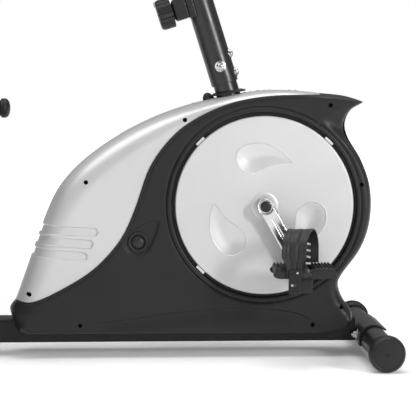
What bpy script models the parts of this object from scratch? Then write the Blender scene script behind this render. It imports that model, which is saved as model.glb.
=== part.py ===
"""Recumbent exercise bike, belt driven and magnetically braked.

Metres, +Z up, +X forward, the rider's right side at -Y. The origin is on the floor, under the middle of
the bike. Lengths along the bike are set from the crank axle, heights from the floor.
"""

import math

import bmesh
import bpy
from mathutils import Matrix, Vector

# ---- Driving dimensions -------------------------------------------------------------------------

FIT = 0.0003            # gap between pieces that touch
RUNNING = 0.0004        # radial clearance of turning and sliding pieces
CRANK_HEIGHT = 0.285    # crank axle above the floor
CRANK_LENGTH = 0.127    # crank axle to pedal axle
CRANK_ANGLE = 29.5      # right crank at rest, degrees forward of straight down
MAST_LEAN = 17.3        # degrees the mast leans back towards the rider

TUBE_R = 0.025          # stabiliser tubes
TUBE_WALL = 0.002
STABILISER_LENGTH = 0.450
CAP_R = 0.033           # round feet on the stabiliser ends
REAR_CAP_R = 0.032
CAP_WIDTH = 0.020
FRONT_TUBE_X = 0.205    # from the crank axle
REAR_TUBE_X = -1.080

BEAM_WIDTH = 0.060
BEAM_HEIGHT = 0.045
BEAM_BOTTOM = 0.025
BEAM_WALL = 0.0025
SADDLE_WALL = 0.004
SADDLE_HALF_WIDTH = 0.075
SLEEVE_WALL = 0.0051    # collar of a foot, outside the tube
SLEEVE_R = TUBE_R + RUNNING + SLEEVE_WALL
SLEEVE_LENGTH = 0.022

POST_R = 0.0225         # lower mast post, with the bottom bracket through it
POST_WALL = 0.0025
POST_END = 0.330        # along the mast, from the crank axle
MAST_WALL = 0.0025
MAST_R = POST_R + RUNNING + MAST_WALL  # mast tube, which slides over the post
MAST_START = 0.236
MAST_END = 0.860
COLLAR_AT = 0.217
COLLAR_R = 0.034
BOLT_R = 0.004
BOLT_HEAD_R = 0.0075
SIDE_BOLT_AT = 0.269
FRONT_BOLTS_AT = (0.251, 0.287)

SHAFT_R = 0.010         # crank axle
BEARING_R = 0.0175
BEARING_WIDTH = 0.012
BRACKET_R = 0.0225
BRACKET_HALF = 0.034
PULLEY_Y = -0.042       # plane of the belt
BELT_WIDTH = 0.010
BELT_THICK = 0.003
DRIVE_PULLEY_R = 0.105
SMALL_PULLEY_R = 0.024
FLYWHEEL_X = -0.234
FLYWHEEL_Z = -0.068     # from the crank axle
FLYWHEEL_R = 0.115
FLYWHEEL_HALF = 0.016
FLYWHEEL_SHAFT_R = 0.008
PLATE_Y = 0.027         # inner face of the flywheel plates
PLATE_THICK = 0.004
MAGNET_GAP = 0.015
MAGNET_THICK = 0.008
MAGNET_PIVOT = (-0.098, -0.100)  # from the flywheel's centre

SHELL_WALL = 0.0026
SHELL_Y = 0.0622        # outer side face of the silver shells
COVER_Y = 0.0660        # outer side face of the black covers
SEAM_LAP = 0.012        # silver shell under the edge of the black cover
WIDE_SHOULDER = 0.036   # how far in the silver shell rounds over at its nose
TIGHT_SHOULDER = 0.006  # and under the mast
DISC_R = 0.1655
DISC_HOLE_R = DISC_R + 0.0065
DISC_LIP_R = DISC_HOLE_R + 0.008
DISC_LIP_RISE = 0.004
DISC_Y = 0.0705         # outer face of the turning discs
DISC_THICK = 0.0025
PLUG_AT = (-0.234, -0.068)
PLUG_R = 0.012

CRANK_Y = 0.084         # inner face of the crank arms
CRANK_THICK = 0.012
CRANK_BOSS_R = 0.0155
CRANK_ROOT_R = 0.0150    # the arm's half width where it meets the boss
CRANK_EYE_R = 0.0145
PEDAL_Y = 0.158         # middle of the pedals
PEDAL_SIZE = (0.114, 0.090, 0.024)
PEDAL_WEIGHT = (0.030, 0.070, 0.026)
SPINDLE_R = 0.007
STRAP_WIDTH = 0.042
STRAP_THICK = 0.0035
STRAP_RISE = 0.070
STRAP_SKEW = 0.030      # how far forward the inner leg sits

HANDLE_R = 0.0125
HANDLE_WALL = 0.002
GRIP_R = 0.0165
GRIP_LENGTH = 0.120
GRIP_CAP_R = 0.020
BAR_AT = 0.790          # front handlebar, along the mast
BAR_HALF = 0.190
BAR_REACH = 0.150

KNOB_AT = 0.393         # along the mast
KNOB_R = 0.030
KNOB_THICK = 0.032
KNOB_BOX = (0.026, 0.044, 0.040)

CONSOLE_TILT = 32.0     # degrees the screen leans back from upright
CONSOLE_SIZE = (0.045, 0.200, 0.150)
SCREEN_SIZE = (0.100, 0.060)
BUTTON_R = 0.007
BUTTON_TRAVEL = 0.0015
BUTTON_RISE = 0.004
BUTTON_STEM = 0.005
BUTTON_YS = (-0.040, 0.0, 0.040)

RAIL_SIZE = (0.470, 0.060, 0.040)
RAIL_FRONT = -0.550
RAIL_TOP = 0.350
SEAT_POST = (0.080, 0.050)
SEAT_POST_X = -0.800
CARRIAGE_LENGTH = 0.160
CARRIAGE_X = -0.755
CARRIAGE_WALL = 0.005
CARRIAGE_RISE = 0.0297
PAN_SIZE = (0.280, 0.300, 0.003)
PAN_X = -0.745
SEAT_CUSHION = (0.350, 0.400, 0.086)
SEAT_CUSHION_X = -0.742
BACK_CUSHION = (0.065, 0.400, 0.450)
BACK_LEAN = 14.0
BACK_FOOT_X = -0.945
BACK_TOP = 0.930
BACK_TUBE_Y = 0.090
BACK_TUBE_R = 0.010
BACK_BEND = 0.050
SEAT_BAR_X = -0.650
SEAT_BAR_HALF = 0.250
SEAT_GRIP_HEIGHT = 0.461
SEAT_GRIP_TIP = -0.493
LEVER_X = -0.720
LEVER_LENGTH = 0.095

# ---- Worked out from the driving dimensions -----------------------------------------------------

AXLE_X = -((FRONT_TUBE_X + CAP_R) + (REAR_TUBE_X - REAR_CAP_R)) / 2  # middles the bike on the origin
AXLE = Vector((AXLE_X, 0, CRANK_HEIGHT))
MAST = Vector((-math.sin(math.radians(MAST_LEAN)), 0, math.cos(math.radians(MAST_LEAN))))
MAST_BACK = Vector((-MAST.z, 0, MAST.x))  # square to the mast, towards the rider
BEAM_TOP = BEAM_BOTTOM + BEAM_HEIGHT
RAIL_BOTTOM = RAIL_TOP - RAIL_SIZE[2]
PAN_BOTTOM = RAIL_TOP + CARRIAGE_RISE + FIT
PAN_TOP = PAN_BOTTOM + PAN_SIZE[2]
FLYWHEEL = AXLE + Vector((FLYWHEEL_X, 0, FLYWHEEL_Z))
UP = Vector((0, 0, 1))
ALONG_Y = Vector((0, 1, 0))

# Outline of the housing, (forward, up) from the crank axle, clockwise as seen from the rider's right.
CREST = (
    (-0.464, -0.176), (-0.436, -0.098), (-0.415, -0.039), (-0.389, 0.021), (-0.354, 0.066), (-0.306, 0.106),
    (-0.249, 0.141), (-0.181, 0.172), (-0.104, 0.195), (-0.014, 0.211), (0.048, 0.213), (0.104, 0.208),
)
FRONT = (
    (0.108, 0.2075), (0.150, 0.203), (0.180, 0.194), (0.184, 0.189), (0.162, 0.174), (0.153, 0.150),
    (0.160, 0.124), (0.183, 0.086), (0.200, 0.040), (0.204, -0.008), (0.197, -0.053), (0.180, -0.092),
    (0.150, -0.133), (0.143, -0.152), (0.152, -0.179), (0.167, -0.200), (0.168, -0.222), (0.150, -0.237),
    (0.110, -0.242),
)
REAR = ((-0.440, -0.242), (-0.461, -0.236), (-0.470, -0.212), (-0.4745, -0.186), (-0.4725, -0.179))
SEAM = (
    (-0.463, -0.177), (-0.431, -0.179), (-0.383, -0.159), (-0.318, -0.119), (-0.269, -0.066), (-0.241, -0.009),
    (-0.212, 0.071), (-0.170, 0.128), (-0.121, 0.164), (-0.056, 0.191), (0.018, 0.203), (0.106, 0.205),
)


# ---- Scene, materials and small builders ---------------------------------------------------------

def clear_scene():
    for obj in list(bpy.data.objects):
        bpy.data.objects.remove(obj, do_unlink=True)


def new_collection(name):
    made = bpy.data.collections.new(name)
    bpy.context.scene.collection.children.link(made)
    return made


def material(name, colour, roughness, metallic):
    made = bpy.data.materials.new(name)
    made.use_nodes = True
    shader = made.node_tree.nodes["Principled BSDF"]
    shader.inputs["Base Color"].default_value = (*colour, 1)
    shader.inputs["Roughness"].default_value = roughness
    shader.inputs["Metallic"].default_value = metallic
    made.diffuse_color = (*colour, 1)
    return made


clear_scene()
PARTS = new_collection("recumbent_exercise_bike")
CUTTERS = new_collection("cutters")
BLACK_PAINT = material("black_paint", (0.012, 0.012, 0.013), 0.25, 0.0)
BLACK_PLASTIC = material("black_plastic", (0.022, 0.022, 0.024), 0.45, 0.0)
SILVER_PLASTIC = material("silver_plastic", (0.55, 0.56, 0.58), 0.38, 0.1)
GREY_PLASTIC = material("grey_plastic", (0.10, 0.10, 0.11), 0.5, 0.0)
CHROME = material("chrome", (0.75, 0.76, 0.78), 0.12, 1.0)
STEEL = material("steel", (0.45, 0.46, 0.48), 0.35, 1.0)
CAST_IRON = material("cast_iron", (0.12, 0.12, 0.13), 0.55, 0.8)
RUBBER = material("rubber", (0.015, 0.015, 0.016), 0.8, 0.0)
FOAM = material("foam", (0.02, 0.02, 0.021), 0.9, 0.0)
VINYL = material("vinyl", (0.025, 0.025, 0.028), 0.55, 0.0)
SCREEN = material("screen", (0.18, 0.21, 0.19), 0.15, 0.0)
BIKE = bpy.data.objects.new("bike", None)
PARTS.objects.link(BIKE)


def from_axle(x, z):
    """A point in the middle plane, given forward and up from the crank axle."""
    return AXLE + Vector((x, 0, z))


def on_mast(along, back=0.0, side=0.0):
    """A point given along the mast from the crank axle, back towards the rider, and to the side."""
    return AXLE + MAST * along + MAST_BACK * back + ALONG_Y * side


def pivot(name, place, parent=None):
    """An empty on a joint's axis, which carries the pieces that move with it."""
    made = bpy.data.objects.new(name, None)
    made.empty_display_size = 0.03
    made.location = place
    PARTS.objects.link(made)
    ride(made, parent or BIKE)
    return made


def ride(obj, parent):
    bpy.context.view_layer.update()
    obj.parent = parent
    obj.matrix_parent_inverse = parent.matrix_world.inverted()


def finish(obj, paint, parent=None):
    """Gives a piece its colour, its smooth shading and its parent."""
    obj.data.materials.clear()
    obj.data.materials.append(paint)
    if obj.type == "MESH":
        obj.data.shade_smooth()
        obj.data.set_sharp_from_angle(angle=math.radians(35))
    ride(obj, parent or BIKE)
    return obj


def as_cutter(obj):
    obj.hide_render = True
    obj.display_type = "WIRE"
    PARTS.objects.unlink(obj)
    CUTTERS.objects.link(obj)
    return obj


def combine(obj, others, operation, solver):
    """Cuts the others from obj, or joins them on. They become hidden helpers."""
    for other in others:
        as_cutter(other)
        change = obj.modifiers.new(operation.lower(), "BOOLEAN")
        change.operation = operation
        change.solver = solver
        change.object = other
    return obj


def cut(obj, *others, solver="EXACT"):
    return combine(obj, others, "DIFFERENCE", solver)


def join(obj, *others, solver="EXACT"):
    return combine(obj, others, "UNION", solver)


def linked(name, mesh):
    made = bpy.data.objects.new(name, mesh)
    PARTS.objects.link(made)
    return made


def turn_to(obj, axis):
    """Points the object's own Z along axis."""
    obj.rotation_euler = Vector(axis).to_track_quat("Z", "Y").to_euler()
    return obj


def box(name, low, high, round_edge=0.0):
    """A box from its lowest to its highest corner, with its edges rounded if asked."""
    low, high = Vector(low), Vector(high)
    mesh = bpy.data.meshes.new(name)
    shape = bmesh.new()
    bmesh.ops.create_cube(shape, size=1, matrix=Matrix.Diagonal((*(high - low), 1)))
    shape.to_mesh(mesh)
    shape.free()
    made = linked(name, mesh)
    made.location = (low + high) / 2
    if round_edge:
        edge = made.modifiers.new("edges", "BEVEL")
        edge.width = round_edge
        edge.segments = 2
    return made


def slanted_box(name, centre, size, angle, round_edge=0.0):
    """A box of a given size about its centre, turned about Y."""
    half = Vector(size) / 2
    made = box(name, -half, half, round_edge)
    made.location = centre
    made.rotation_euler = (0, angle, 0)
    return made


def turned(name, profile, place, axis, steps=24, ring=False):
    """A (radius, height) profile, its outer side running down, turned about axis through place."""
    count = len(profile)
    edges = [(i, i + 1) for i in range(count - 1)]
    if ring:
        edges.append((count - 1, 0))
    mesh = bpy.data.meshes.new(name)
    mesh.from_pydata([(radius, 0, height) for radius, height in profile], edges, [])
    made = linked(name, mesh)
    screw = made.modifiers.new("turn", "SCREW")
    screw.steps = steps
    screw.render_steps = steps
    screw.use_merge_vertices = True
    screw.merge_threshold = 0.00005
    made.location = place
    return turn_to(made, axis)


def pin(name, place, axis, radius, low, high, steps=24, chamfer=0.0):
    """A solid cylinder between two heights along axis."""
    profile = [(0, high), (radius - chamfer, high)]
    if chamfer:
        profile += [(radius, high - chamfer), (radius, low + chamfer)]
    profile += [(radius - chamfer, low), (0, low)]
    return turned(name, profile, place, axis, steps)


def sleeve(name, place, axis, outer, inner, low, high, steps=24):
    """A tube or ring between two heights along axis."""
    profile = [(outer, high), (outer, low), (inner, low), (inner, high)]
    return turned(name, profile, place, axis, steps, ring=True)


def smooth(points, steps):
    """Points along a rounded curve through the given ones (centripetal ends repeated)."""
    points = [Vector(p) for p in points]
    padded = [points[0] * 2 - points[1], *points, points[-1] * 2 - points[-2]]
    found = []
    for a, b, c, d in zip(padded, padded[1:], padded[2:], padded[3:]):
        for step in range(steps):
            t = step / steps
            found.append(
                ((b * 2) + (c - a) * t + (a * 2 - b * 5 + c * 4 - d) * t * t + (b * 3 - a - c * 3 + d) * t ** 3)
                * 0.5
            )
    return found + [points[-1]]


def arc(centre, radius, start, end, steps):
    """Points on a circle in the outline plane, angles in degrees from forward towards up."""
    angles = [math.radians(start + (end - start) * i / steps) for i in range(steps + 1)]
    return [Vector((centre[0] + radius * math.cos(a), centre[1] + radius * math.sin(a))) for a in angles]


def inset(points, distances):
    """Moves each point of an open clockwise outline towards its inside."""
    found = []
    for i, point in enumerate(points):
        along = (points[min(i + 1, len(points) - 1)] - points[max(i - 1, 0)]).normalized()
        found.append(point + Vector((along.y, -along.x)) * distances[i])
    return found


def plate(name, outline, near, far, origin=AXLE):
    """A flat outline, (forward, up) from origin, as thick as from near to far along Y."""
    curve = bpy.data.curves.new(name, "CURVE")
    curve.dimensions = "2D"
    curve.fill_mode = "BOTH"
    curve.extrude = abs(far - near) / 2
    spline = curve.splines.new("POLY")
    spline.points.add(len(outline) - 1)
    for point, (x, z) in zip(spline.points, outline):
        point.co = (x, z, 0, 1)
    spline.use_cyclic_u = True
    flat = linked(name, curve)
    flat.rotation_euler = (math.pi / 2, 0, 0)
    flat.location = Vector(origin) + ALONG_Y * (near + far) / 2
    return as_mesh(flat)


def as_mesh(curve_object):
    """The same piece as a mesh with its caps welded on, so that it can be cut and joined."""
    bpy.context.view_layer.update()
    name = curve_object.name
    graph = bpy.context.evaluated_depsgraph_get()
    mesh = bpy.data.meshes.new_from_object(curve_object.evaluated_get(graph))
    shape = bmesh.new()
    shape.from_mesh(mesh)
    bmesh.ops.remove_doubles(shape, verts=shape.verts, dist=0.00001)
    bmesh.ops.recalc_face_normals(shape, faces=shape.faces)
    shape.to_mesh(mesh)
    shape.free()
    made = linked(name + "_mesh", mesh)
    made.matrix_world = curve_object.matrix_world
    bpy.data.objects.remove(curve_object)
    made.name = name
    return made


def bent(corners, radius, steps):
    """A path through the corners, each one rounded to the bend radius."""
    corners = [Vector(c) for c in corners]
    path = [corners[0]]
    for before, corner, after in zip(corners, corners[1:], corners[2:]):
        one, two = (before - corner).normalized(), (after - corner).normalized()
        half = one.angle(two) / 2
        reach = radius / math.tan(half)
        middle = corner + (one + two).normalized() * radius / math.sin(half)
        start, end = corner + one * reach - middle, corner + two * reach - middle
        for i in range(steps + 1):
            path.append(middle + start.slerp(end, i / steps) * radius)
    return path + [corners[-1]]


def tube(name, path, radius, wall=0.0, sides=2):
    """A round tube along a path: hollow and open at its ends with a wall, solid without."""
    curve = bpy.data.curves.new(name, "CURVE")
    curve.dimensions = "3D"
    curve.bevel_depth = radius
    curve.bevel_resolution = sides
    curve.use_fill_caps = not wall
    spline = curve.splines.new("POLY")
    spline.points.add(len(path) - 1)
    for point, place in zip(spline.points, path):
        point.co = (*place, 1)
    made = as_mesh(linked(name, curve))
    if wall:
        skin = made.modifiers.new("wall", "SOLIDIFY")
        skin.thickness = wall
        skin.offset = -1
    return made


def sides():
    """(suffix, sign of Y) for the rider's right and left."""
    return (("right", -1), ("left", 1))


# ---- Base and frame ------------------------------------------------------------------------------

def make_beam():
    low = Vector((AXLE_X + REAR_TUBE_X + TUBE_R + FIT, -BEAM_WIDTH / 2, BEAM_BOTTOM))
    high = Vector((AXLE_X + FRONT_TUBE_X - TUBE_R - FIT - SADDLE_WALL - FIT, BEAM_WIDTH / 2, BEAM_TOP))
    beam = box("main_beam", low, high)
    wall = Vector((0, BEAM_WALL, BEAM_WALL))
    past = Vector((0.01, 0, 0))
    cut(beam, box("beam_hollow", low + wall - past, high - wall + past))
    return finish(beam, BLACK_PAINT)


def make_stabiliser(name, x):
    place = Vector((AXLE_X + x, 0, CAP_R))
    half = STABILISER_LENGTH / 2
    made = sleeve(name, place, ALONG_Y, TUBE_R, TUBE_R - TUBE_WALL, -half, half)
    return finish(made, BLACK_PAINT)


def make_saddle():
    inner = TUBE_R + FIT
    outer = inner + SADDLE_WALL
    outline = arc((0, 0), outer, 46, 205, 16) + arc((0, 0), inner, 205, 46, 16)
    place = Vector((AXLE_X + FRONT_TUBE_X, 0, CAP_R))
    saddle = plate("front_saddle", outline, -SADDLE_HALF_WIDTH, SADDLE_HALF_WIDTH, place)
    return finish(saddle, BLACK_PAINT)


def cap_profile(radius, round_edge=0.005):
    """Round foot with a peg that sits in the tube's end and a collar round the outside of it."""
    peg = TUBE_R - TUBE_WALL - RUNNING
    bore = TUBE_R + RUNNING
    return [
        (0, CAP_WIDTH), (radius - 2.2 * round_edge, CAP_WIDTH),
        (radius - 0.7 * round_edge, CAP_WIDTH - 0.002), (radius, CAP_WIDTH - round_edge),
        (radius, 0.002), (SLEEVE_R, FIT), (SLEEVE_R, -SLEEVE_LENGTH), (bore, -SLEEVE_LENGTH),
        (bore, FIT), (peg, FIT), (peg, -0.020), (0, -0.020),
    ]


def make_front_rollers():
    for side, sign in sides():
        place = Vector((AXLE_X + FRONT_TUBE_X, sign * STABILISER_LENGTH / 2, CAP_R))
        hub = pivot("front_roller_axis_" + side, place)
        roller = turned("front_roller_" + side, cap_profile(CAP_R), place, ALONG_Y * sign)
        finish(roller, GREY_PLASTIC, hub)


def make_rear_caps():
    foot_half = 0.018
    for side, sign in sides():
        y = sign * STABILISER_LENGTH / 2
        place = Vector((AXLE_X + REAR_TUBE_X, y, CAP_R))
        cap = turned("rear_end_cap_" + side, cap_profile(REAR_CAP_R), place, ALONG_Y * sign)
        inner, outer = sorted((y + sign * FIT, y + sign * (CAP_WIDTH - 0.004)))
        foot = box("rear_foot_" + side, (place.x - foot_half, inner, 0), (place.x + foot_half, outer, 0.012))
        finish(join(cap, foot), GREY_PLASTIC)


def make_post():
    """Lower mast post, welded to the beam, with the bottom bracket shell across it."""
    start = (BEAM_TOP + FIT - CRANK_HEIGHT) / MAST.z
    post = pin("mast_post", AXLE, MAST, POST_R, start - 0.03, POST_END)
    shell = pin("bracket_shell", AXLE, ALONG_Y, BRACKET_R, -BRACKET_HALF, BRACKET_HALF)
    hollow = pin("post_hollow", AXLE, MAST, POST_R - POST_WALL, BRACKET_R + 0.004, POST_END + 0.01)
    under = pin("post_foot_hollow", AXLE, MAST, POST_R - POST_WALL, start - 0.04, -BRACKET_R - 0.004)
    bore = pin("bearing_bore", AXLE, ALONG_Y, BEARING_R + FIT, -0.05, 0.05)
    foot = box("post_foot_cut", AXLE + Vector((-0.1, -0.1, -0.4)), (AXLE_X + 0.2, 0.1, BEAM_TOP + FIT))
    cut(join(post, shell), hollow, under, bore, foot)
    return finish(post, BLACK_PAINT)


def make_bearings():
    for side, sign in sides():
        middle = AXLE + ALONG_Y * sign * (BRACKET_HALF - BEARING_WIDTH / 2 - 0.001)
        ring = sleeve(
            "crank_bearing_" + side, middle, ALONG_Y, BEARING_R, SHAFT_R + RUNNING,
            -BEARING_WIDTH / 2, BEARING_WIDTH / 2,
        )
        finish(ring, STEEL)


def make_mast():
    inner = POST_R + RUNNING
    mast = sleeve("mast", AXLE, MAST, MAST_R, inner, MAST_START, MAST_END)
    finish(mast, BLACK_PAINT)
    bolts = [("mast_bolt_front_%d" % (i + 1), at, -MAST_BACK) for i, at in enumerate(FRONT_BOLTS_AT)]
    bolts.append(("mast_bolt_right", SIDE_BOLT_AT, -ALONG_Y))
    for name, at, axis in bolts:
        head = [
            (0, 0.007), (BOLT_HEAD_R * 0.6, 0.0062), (BOLT_HEAD_R, 0.003), (BOLT_HEAD_R, 0.0018),
            (BOLT_HEAD_R + 0.002, 0.0018), (BOLT_HEAD_R + 0.002, FIT), (BOLT_R, FIT), (BOLT_R, -0.009),
            (0, -0.009),
        ]
        finish(turned(name, head, on_mast(at) + axis * MAST_R, axis, 12), CHROME)
        hole = pin(name + "_hole", on_mast(at), axis, BOLT_R + FIT, 0.012, 0.030, 16)
        cut(mast, hole)
        post_hole = pin(name + "_post_hole", on_mast(at), axis, BOLT_R + FIT, 0.014, 0.03, 16)
        cut(bpy.data.objects["mast_post"], post_hole)


def make_collar():
    """Trim ring that lies on the housing's top round the post."""
    slope = (Vector(CREST[9]) - Vector(CREST[8])).normalized()
    normal = Vector((-slope.y, 0, slope.x))
    ring = turned(
        "mast_collar",
        [(0, 0.0035), (COLLAR_R - 0.003, 0.0035), (COLLAR_R, 0.0005), (COLLAR_R, -0.001), (0, -0.001)],
        on_mast(COLLAR_AT), normal,
    )
    cut(ring, pin("collar_bore", AXLE, MAST, POST_R + 0.0006, COLLAR_AT - 0.05, COLLAR_AT + 0.05))
    return finish(ring, BLACK_PLASTIC)


# ---- Drive and brake -----------------------------------------------------------------------------

def make_crank_drive(hub):
    end = CRANK_Y + CRANK_THICK + 0.002
    finish(pin("crank_axle", AXLE, ALONG_Y, SHAFT_R, -end, end, 24), STEEL, hub)
    half = BELT_WIDTH / 2 + 0.001
    hub_r = 0.019
    rim = DRIVE_PULLEY_R - 0.010
    profile = [
        (rim, half), (DRIVE_PULLEY_R, half), (DRIVE_PULLEY_R, -half), (rim, -half), (rim, -0.0015), (hub_r, -0.0015),
        (hub_r, -half), (SHAFT_R + FIT, -half), (SHAFT_R + FIT, half), (hub_r, half), (hub_r, 0.0015), (rim, 0.0015),
    ]
    place = AXLE + ALONG_Y * PULLEY_Y
    finish(turned("drive_pulley", profile, place, ALONG_Y, 28, ring=True), BLACK_PLASTIC, hub)


def make_discs(hub):
    """Round covers that turn with the cranks and fill the holes in the side covers."""
    for side, sign in sides():
        profile = [
            (SHAFT_R + FIT, DISC_Y + 0.002), (0.030, DISC_Y + 0.002), (0.036, DISC_Y), (DISC_R - 0.003, DISC_Y),
            (DISC_R, DISC_Y - 0.003), (DISC_R, DISC_Y - 0.009), (DISC_R - DISC_THICK, DISC_Y - 0.009),
            (DISC_R - DISC_THICK - 0.001, DISC_Y - DISC_THICK), (SHAFT_R + FIT, DISC_Y - DISC_THICK),
        ]
        disc = turned("crank_disc_" + side, profile, AXLE, ALONG_Y * sign, 36, ring=True)
        finish(disc, SILVER_PLASTIC, hub)


def crank_direction(sign):
    """Unit vector from the crank axle to the pedal: the left crank points the opposite way."""
    angle = math.radians(CRANK_ANGLE)
    return Vector((math.sin(angle), 0, -math.cos(angle))) * (1 if sign < 0 else -1)


def make_crank_arms(hub):
    for side, sign in sides():
        way = crank_direction(sign)
        heading = math.degrees(math.atan2(way.z, way.x))
        end = way * CRANK_LENGTH
        outline = arc((0, 0), CRANK_ROOT_R, heading + 90, heading + 270, 8)
        outline += arc((end.x, end.z), CRANK_EYE_R, heading - 90, heading + 90, 8)
        near, far = sorted((sign * CRANK_Y, sign * (CRANK_Y + CRANK_THICK)))
        arm = plate("crank_arm_" + side, outline, near, far)
        boss = pin("crank_boss_" + side, AXLE, ALONG_Y * sign, CRANK_BOSS_R, DISC_Y + 0.0045, CRANK_Y + 0.016)
        bore = pin("crank_bore_" + side, AXLE, ALONG_Y, SHAFT_R + FIT, -0.2, 0.2)
        eye = pin("pedal_bore_" + side, AXLE + end, ALONG_Y, SPINDLE_R + FIT, -0.2, 0.2, 16)
        join(arm, boss, solver="MANIFOLD")
        finish(cut(arm, bore, eye, solver="MANIFOLD"), CHROME, hub)
        inner = CRANK_Y + 0.001
        outer = PEDAL_Y + PEDAL_SIZE[1] / 2 - 0.012
        collar = CRANK_Y + CRANK_THICK + FIT
        profile = [
            (0, outer), (SPINDLE_R, outer), (SPINDLE_R, collar + 0.004), (0.0105, collar + 0.004),
            (0.0105, collar), (SPINDLE_R, collar), (SPINDLE_R, inner), (0, inner),
        ]
        spindle = turned("pedal_spindle_" + side, profile, AXLE + end, ALONG_Y * sign, 16)
        finish(spindle, STEEL, hub)


def make_pedal(side, sign, hub):
    """Pedal with its strap: a platform, a hanging weight that keeps it level, and an arch over the foot."""
    axle = AXLE + crank_direction(sign) * CRANK_LENGTH + ALONG_Y * sign * PEDAL_Y
    length, width, height = PEDAL_SIZE
    half = Vector(PEDAL_SIZE) / 2
    joint = pivot("pedal_axis_" + side, axle, hub)
    body = box("pedal_" + side, axle - half, axle + half, 0.005)
    weight = Vector(PEDAL_WEIGHT)
    low = axle + Vector((-weight.x / 2, -weight.y / 2, -height / 2 - weight.z))
    join(body, box("pedal_weight_" + side, low, low + weight + Vector((0, 0, height / 2)), 0.003))
    cut(body, pin("pedal_hole_" + side, axle, ALONG_Y, SPINDLE_R + RUNNING, -0.05, 0.05, 16))
    for end in (-1, 1):
        middle = axle + Vector((end * length * 0.31, 0, 0))
        slot = Vector((length * 0.13, width * 0.36, height))
        cut(body, box("pedal_window", middle - slot, middle + slot))
    finish(body, BLACK_PLASTIC, joint)
    make_strap(side, sign, axle, joint)


def make_strap(side, sign, axle, joint):
    """A band from the pedal's outer edge over the foot to its inner edge, skewed forward on the way."""
    half_span = PEDAL_SIZE[1] / 2 + FIT + STRAP_THICK / 2
    foot = -PEDAL_SIZE[2] / 2
    top = PEDAL_SIZE[2] / 2 + STRAP_RISE
    bend = half_span * 0.9
    route = [(half_span, foot), (half_span, top - bend)]
    route += [(half_span * math.cos(math.radians(a)), top - bend + bend * math.sin(math.radians(a)))
              for a in range(15, 180, 15)]
    route += [(-half_span, top - bend), (-half_span, SPINDLE_R + 0.002)]
    mesh = bpy.data.meshes.new("pedal_strap_" + side)
    rows = []
    for along, (y, z) in enumerate(route):
        shift = STRAP_SKEW * (0.5 - (y / half_span) / 2) - STRAP_SKEW / 2
        rows.append([(shift + edge * STRAP_WIDTH / 2, sign * y, z) for edge in (-1, 1)])
    faces = [(2 * i, 2 * i + 1, 2 * i + 3, 2 * i + 2) for i in range(len(rows) - 1)]
    mesh.from_pydata([point for row in rows for point in row], [], faces)
    strap = linked("pedal_strap_" + side, mesh)
    strap.location = axle
    skin = strap.modifiers.new("band", "SOLIDIFY")
    skin.thickness = STRAP_THICK
    skin.offset = 0
    finish(strap, RUBBER, joint)


def make_flywheel(hub):
    inner = FLYWHEEL_SHAFT_R + FIT
    rim = FLYWHEEL_R - 0.030
    half = FLYWHEEL_HALF
    profile = [
        (rim, half), (FLYWHEEL_R, half), (FLYWHEEL_R, -half), (rim, -half), (rim, -0.004), (0.024, -0.004),
        (0.024, -half), (inner, -half), (inner, half), (0.024, half), (0.024, 0.004), (rim, 0.004),
    ]
    finish(turned("flywheel", profile, FLYWHEEL, ALONG_Y, 28, ring=True), CAST_IRON, hub)
    end = PLATE_Y + PLATE_THICK + 0.005
    wheel_half = BELT_WIDTH / 2 + 0.001
    profile = [
        (0, end), (FLYWHEEL_SHAFT_R, end), (FLYWHEEL_SHAFT_R, PULLEY_Y + wheel_half),
        (SMALL_PULLEY_R, PULLEY_Y + wheel_half), (SMALL_PULLEY_R, PULLEY_Y - wheel_half), (0, PULLEY_Y - wheel_half),
    ]
    finish(turned("pulley_shaft", profile, FLYWHEEL, ALONG_Y), STEEL, hub)


def make_belt():
    """Closed loop round both pulleys: two arcs and the straight runs between them."""
    offset = Vector((FLYWHEEL_X, FLYWHEEL_Z))
    heading = math.degrees(math.atan2(offset.y, offset.x))
    lean = math.degrees(math.asin((DRIVE_PULLEY_R - SMALL_PULLEY_R) / offset.length))

    def loop(extra):
        big = arc((0, 0), DRIVE_PULLEY_R + extra, heading - 270 - lean, heading - 90 + lean, 24)
        small = arc(offset, SMALL_PULLEY_R + extra, heading - 90 + lean, heading + 90 - lean, 12)
        return big + small

    near, far = PULLEY_Y - BELT_WIDTH / 2, PULLEY_Y + BELT_WIDTH / 2
    belt = plate("drive_belt", loop(RUNNING + BELT_THICK), near, far)
    cut(belt, plate("belt_inside", loop(RUNNING), near - 0.01, far + 0.01))
    return finish(belt, RUBBER)


def make_flywheel_plates():
    base = BEAM_TOP + FIT - FLYWHEEL.z
    pivot_x, pivot_z = MAGNET_PIVOT
    outline = [Vector((pivot_x - 0.016, base)), Vector((pivot_x - 0.016, pivot_z)), Vector((pivot_x, pivot_z + 0.016))]
    outline += arc((0, 0), 0.026, 150, 10, 12)
    outline += [Vector((0.075, base))]
    for side, sign in sides():
        near, far = sorted((sign * PLATE_Y, sign * (PLATE_Y + PLATE_THICK)))
        made = plate("flywheel_plate_" + side, outline, near, far, FLYWHEEL)
        ends = (sign * PLATE_Y - 0.01, sign * PLATE_Y + 0.01)
        shaft = pin("shaft_hole_" + side, FLYWHEEL, ALONG_Y, FLYWHEEL_SHAFT_R + RUNNING, *ends)
        pivot_hole = pin("magnet_hole_" + side, magnet_pivot(), ALONG_Y, 0.004 + RUNNING, *ends)
        finish(cut(made, shaft, pivot_hole), BLACK_PAINT)


def magnet_pivot():
    return FLYWHEEL + Vector((MAGNET_PIVOT[0], 0, MAGNET_PIVOT[1]))


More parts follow.
